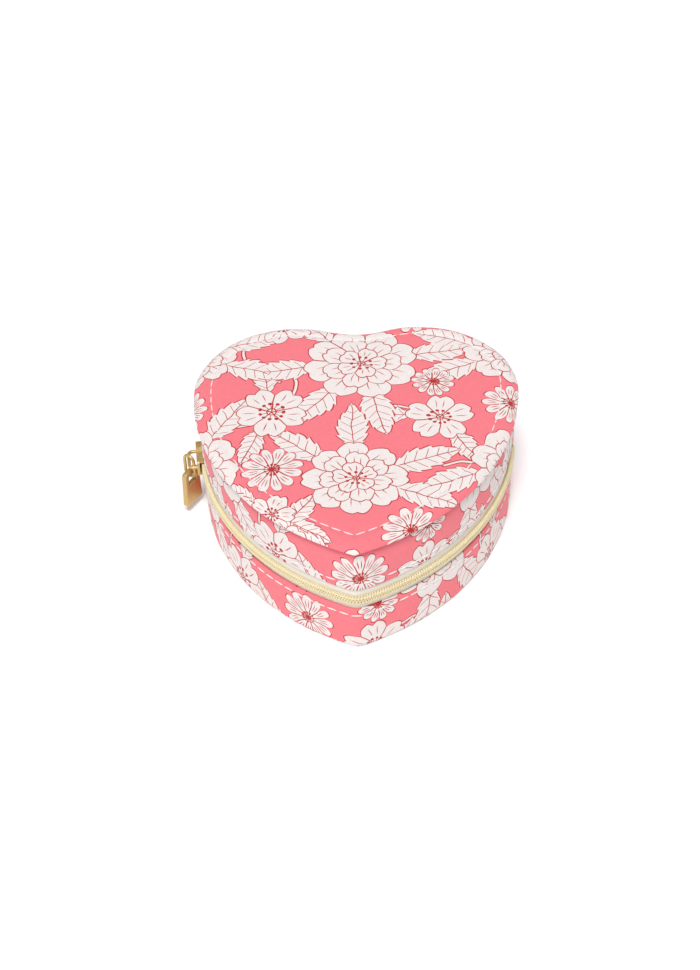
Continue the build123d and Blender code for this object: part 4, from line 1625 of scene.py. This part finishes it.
class CASE_OT_stage(bpy.types.Operator):
    """Pale floor, soft studio light and a camera at the photograph's angle"""
    bl_idname = "case.stage"
    bl_label = "Stage"

    def execute(self, context):
        scene = context.scene
        stage = scene.case_stage
        self.floor(scene, stage)
        self.lights(scene, stage)
        self.camera(scene, stage)
        scene.view_settings.view_transform = "Standard"
        return {"FINISHED"}

    def floor(self, scene, stage):
        """A wide floor in a pale, faintly uneven tone."""
        nodes = new_material("pale_floor")
        grain = nodes.noise(nodes.object_point(), 30.0, detail=3.0)
        nodes.surface({
            "Base Color": nodes.shades(grain, stage.floor, 0.985),
            "Roughness": 0.9,
            "Specular IOR Level": 0.0,
            "Emission Color": (1, 1, 1, 1),
            "Emission Strength": stage.glow,
        })
        bm = bmesh.new()
        bmesh.ops.create_grid(bm, x_segments=8, y_segments=8, size=FLOOR_HALF)
        mesh = bpy.data.meshes.new("floor")
        bm.to_mesh(mesh)
        bm.free()
        mesh.materials.append(bpy.data.materials["pale_floor"])
        floor = bpy.data.objects.new("floor", mesh)
        scene.collection.objects.link(floor)

    def lights(self, scene, stage):
        """Light from all round, a soft light in front and above, and two lamps for the metal's glints."""
        world = bpy.data.worlds.new("studio")
        world.use_nodes = True
        backdrop = world.node_tree.nodes["Background"]
        backdrop.inputs["Color"].default_value = (1, 1, 1, 1)
        backdrop.inputs["Strength"].default_value = stage.sky
        scene.world = world
        key = bpy.data.lights.new("key", "SUN")
        key.energy = stage.key
        key.angle = KEY_SOFTNESS
        self.hang(scene, key, Vector(), KEY_WAY)
        for name, place, width in LAMPS:
            lamp = bpy.data.lights.new(name, "AREA")
            lamp.shape = "SQUARE"
            lamp.size = width
            lamp.energy = stage.glint
            self.hang(scene, lamp, Vector(place), LAMP_AIM - Vector(place))

    def hang(self, scene, lamp, place, way):
        """Puts a lamp at a place and turns it to shine a way."""
        holder = bpy.data.objects.new(lamp.name, lamp)
        scene.collection.objects.link(holder)
        holder.location = place
        holder.rotation_euler = way.to_track_quat("-Z", "Y").to_euler()

    def camera(self, scene, stage):
        """A camera that looks at the target from the stage's angles."""
        camera = bpy.data.objects.new("camera", bpy.data.cameras.new("camera"))
        scene.collection.objects.link(camera)
        level = cos(stage.elevation)
        back = Vector((sin(stage.azimuth) * level, -cos(stage.azimuth) * level, sin(stage.elevation)))
        camera.location = Vector(stage.target) + back * stage.distance
        facing = (-back).to_track_quat("-Z", "Y").to_matrix()
        camera.rotation_euler = (facing @ Matrix.Rotation(stage.roll, 3, "Z")).to_euler()
        camera.data.lens = stage.lens
        camera.data.clip_start, camera.data.clip_end = 0.01, 200
        scene.camera = camera


# Add-on

# In the order in which they run
OPERATORS = (
    CASE_OT_materials, CASE_OT_lid_top, CASE_OT_walls, CASE_OT_bottom, CASE_OT_stitching, CASE_OT_tapes,
    CASE_OT_coil, CASE_OT_slider, CASE_OT_pull, CASE_OT_stops, CASE_OT_hinge, CASE_OT_linings,
    CASE_OT_rolls, CASE_OT_dividers, CASE_OT_mirror, CASE_OT_boards, CASE_OT_stage,
)


class CASE_PT_panel(bpy.types.Panel):
    """Lists the pieces of the case"""
    bl_idname = "CASE_PT_panel"
    bl_label = "Jewellery case"
    bl_space_type = "VIEW_3D"
    bl_region_type = "UI"
    bl_category = "Case"

    def draw(self, context):
        for kind in OPERATORS:
            self.layout.operator(kind.bl_idname)


SETTINGS = {"case_sizes": CaseSizes, "case_colours": CaseColours, "case_stage": CaseStage}
CLASSES = (*SETTINGS.values(), *OPERATORS, CASE_PT_panel)


def register():
    for kind in CLASSES:
        bpy.utils.register_class(kind)
    for name, kind in SETTINGS.items():
        setattr(bpy.types.Scene, name, bpy.props.PointerProperty(type=kind))


def unregister():
    for name in SETTINGS:
        delattr(bpy.types.Scene, name)
    for kind in reversed(CLASSES):
        bpy.utils.unregister_class(kind)


def main():
    register()
    for kind in OPERATORS:
        getattr(bpy.ops.case, kind.bl_idname.split(".")[1])()


if __name__ == "__main__":
    main()
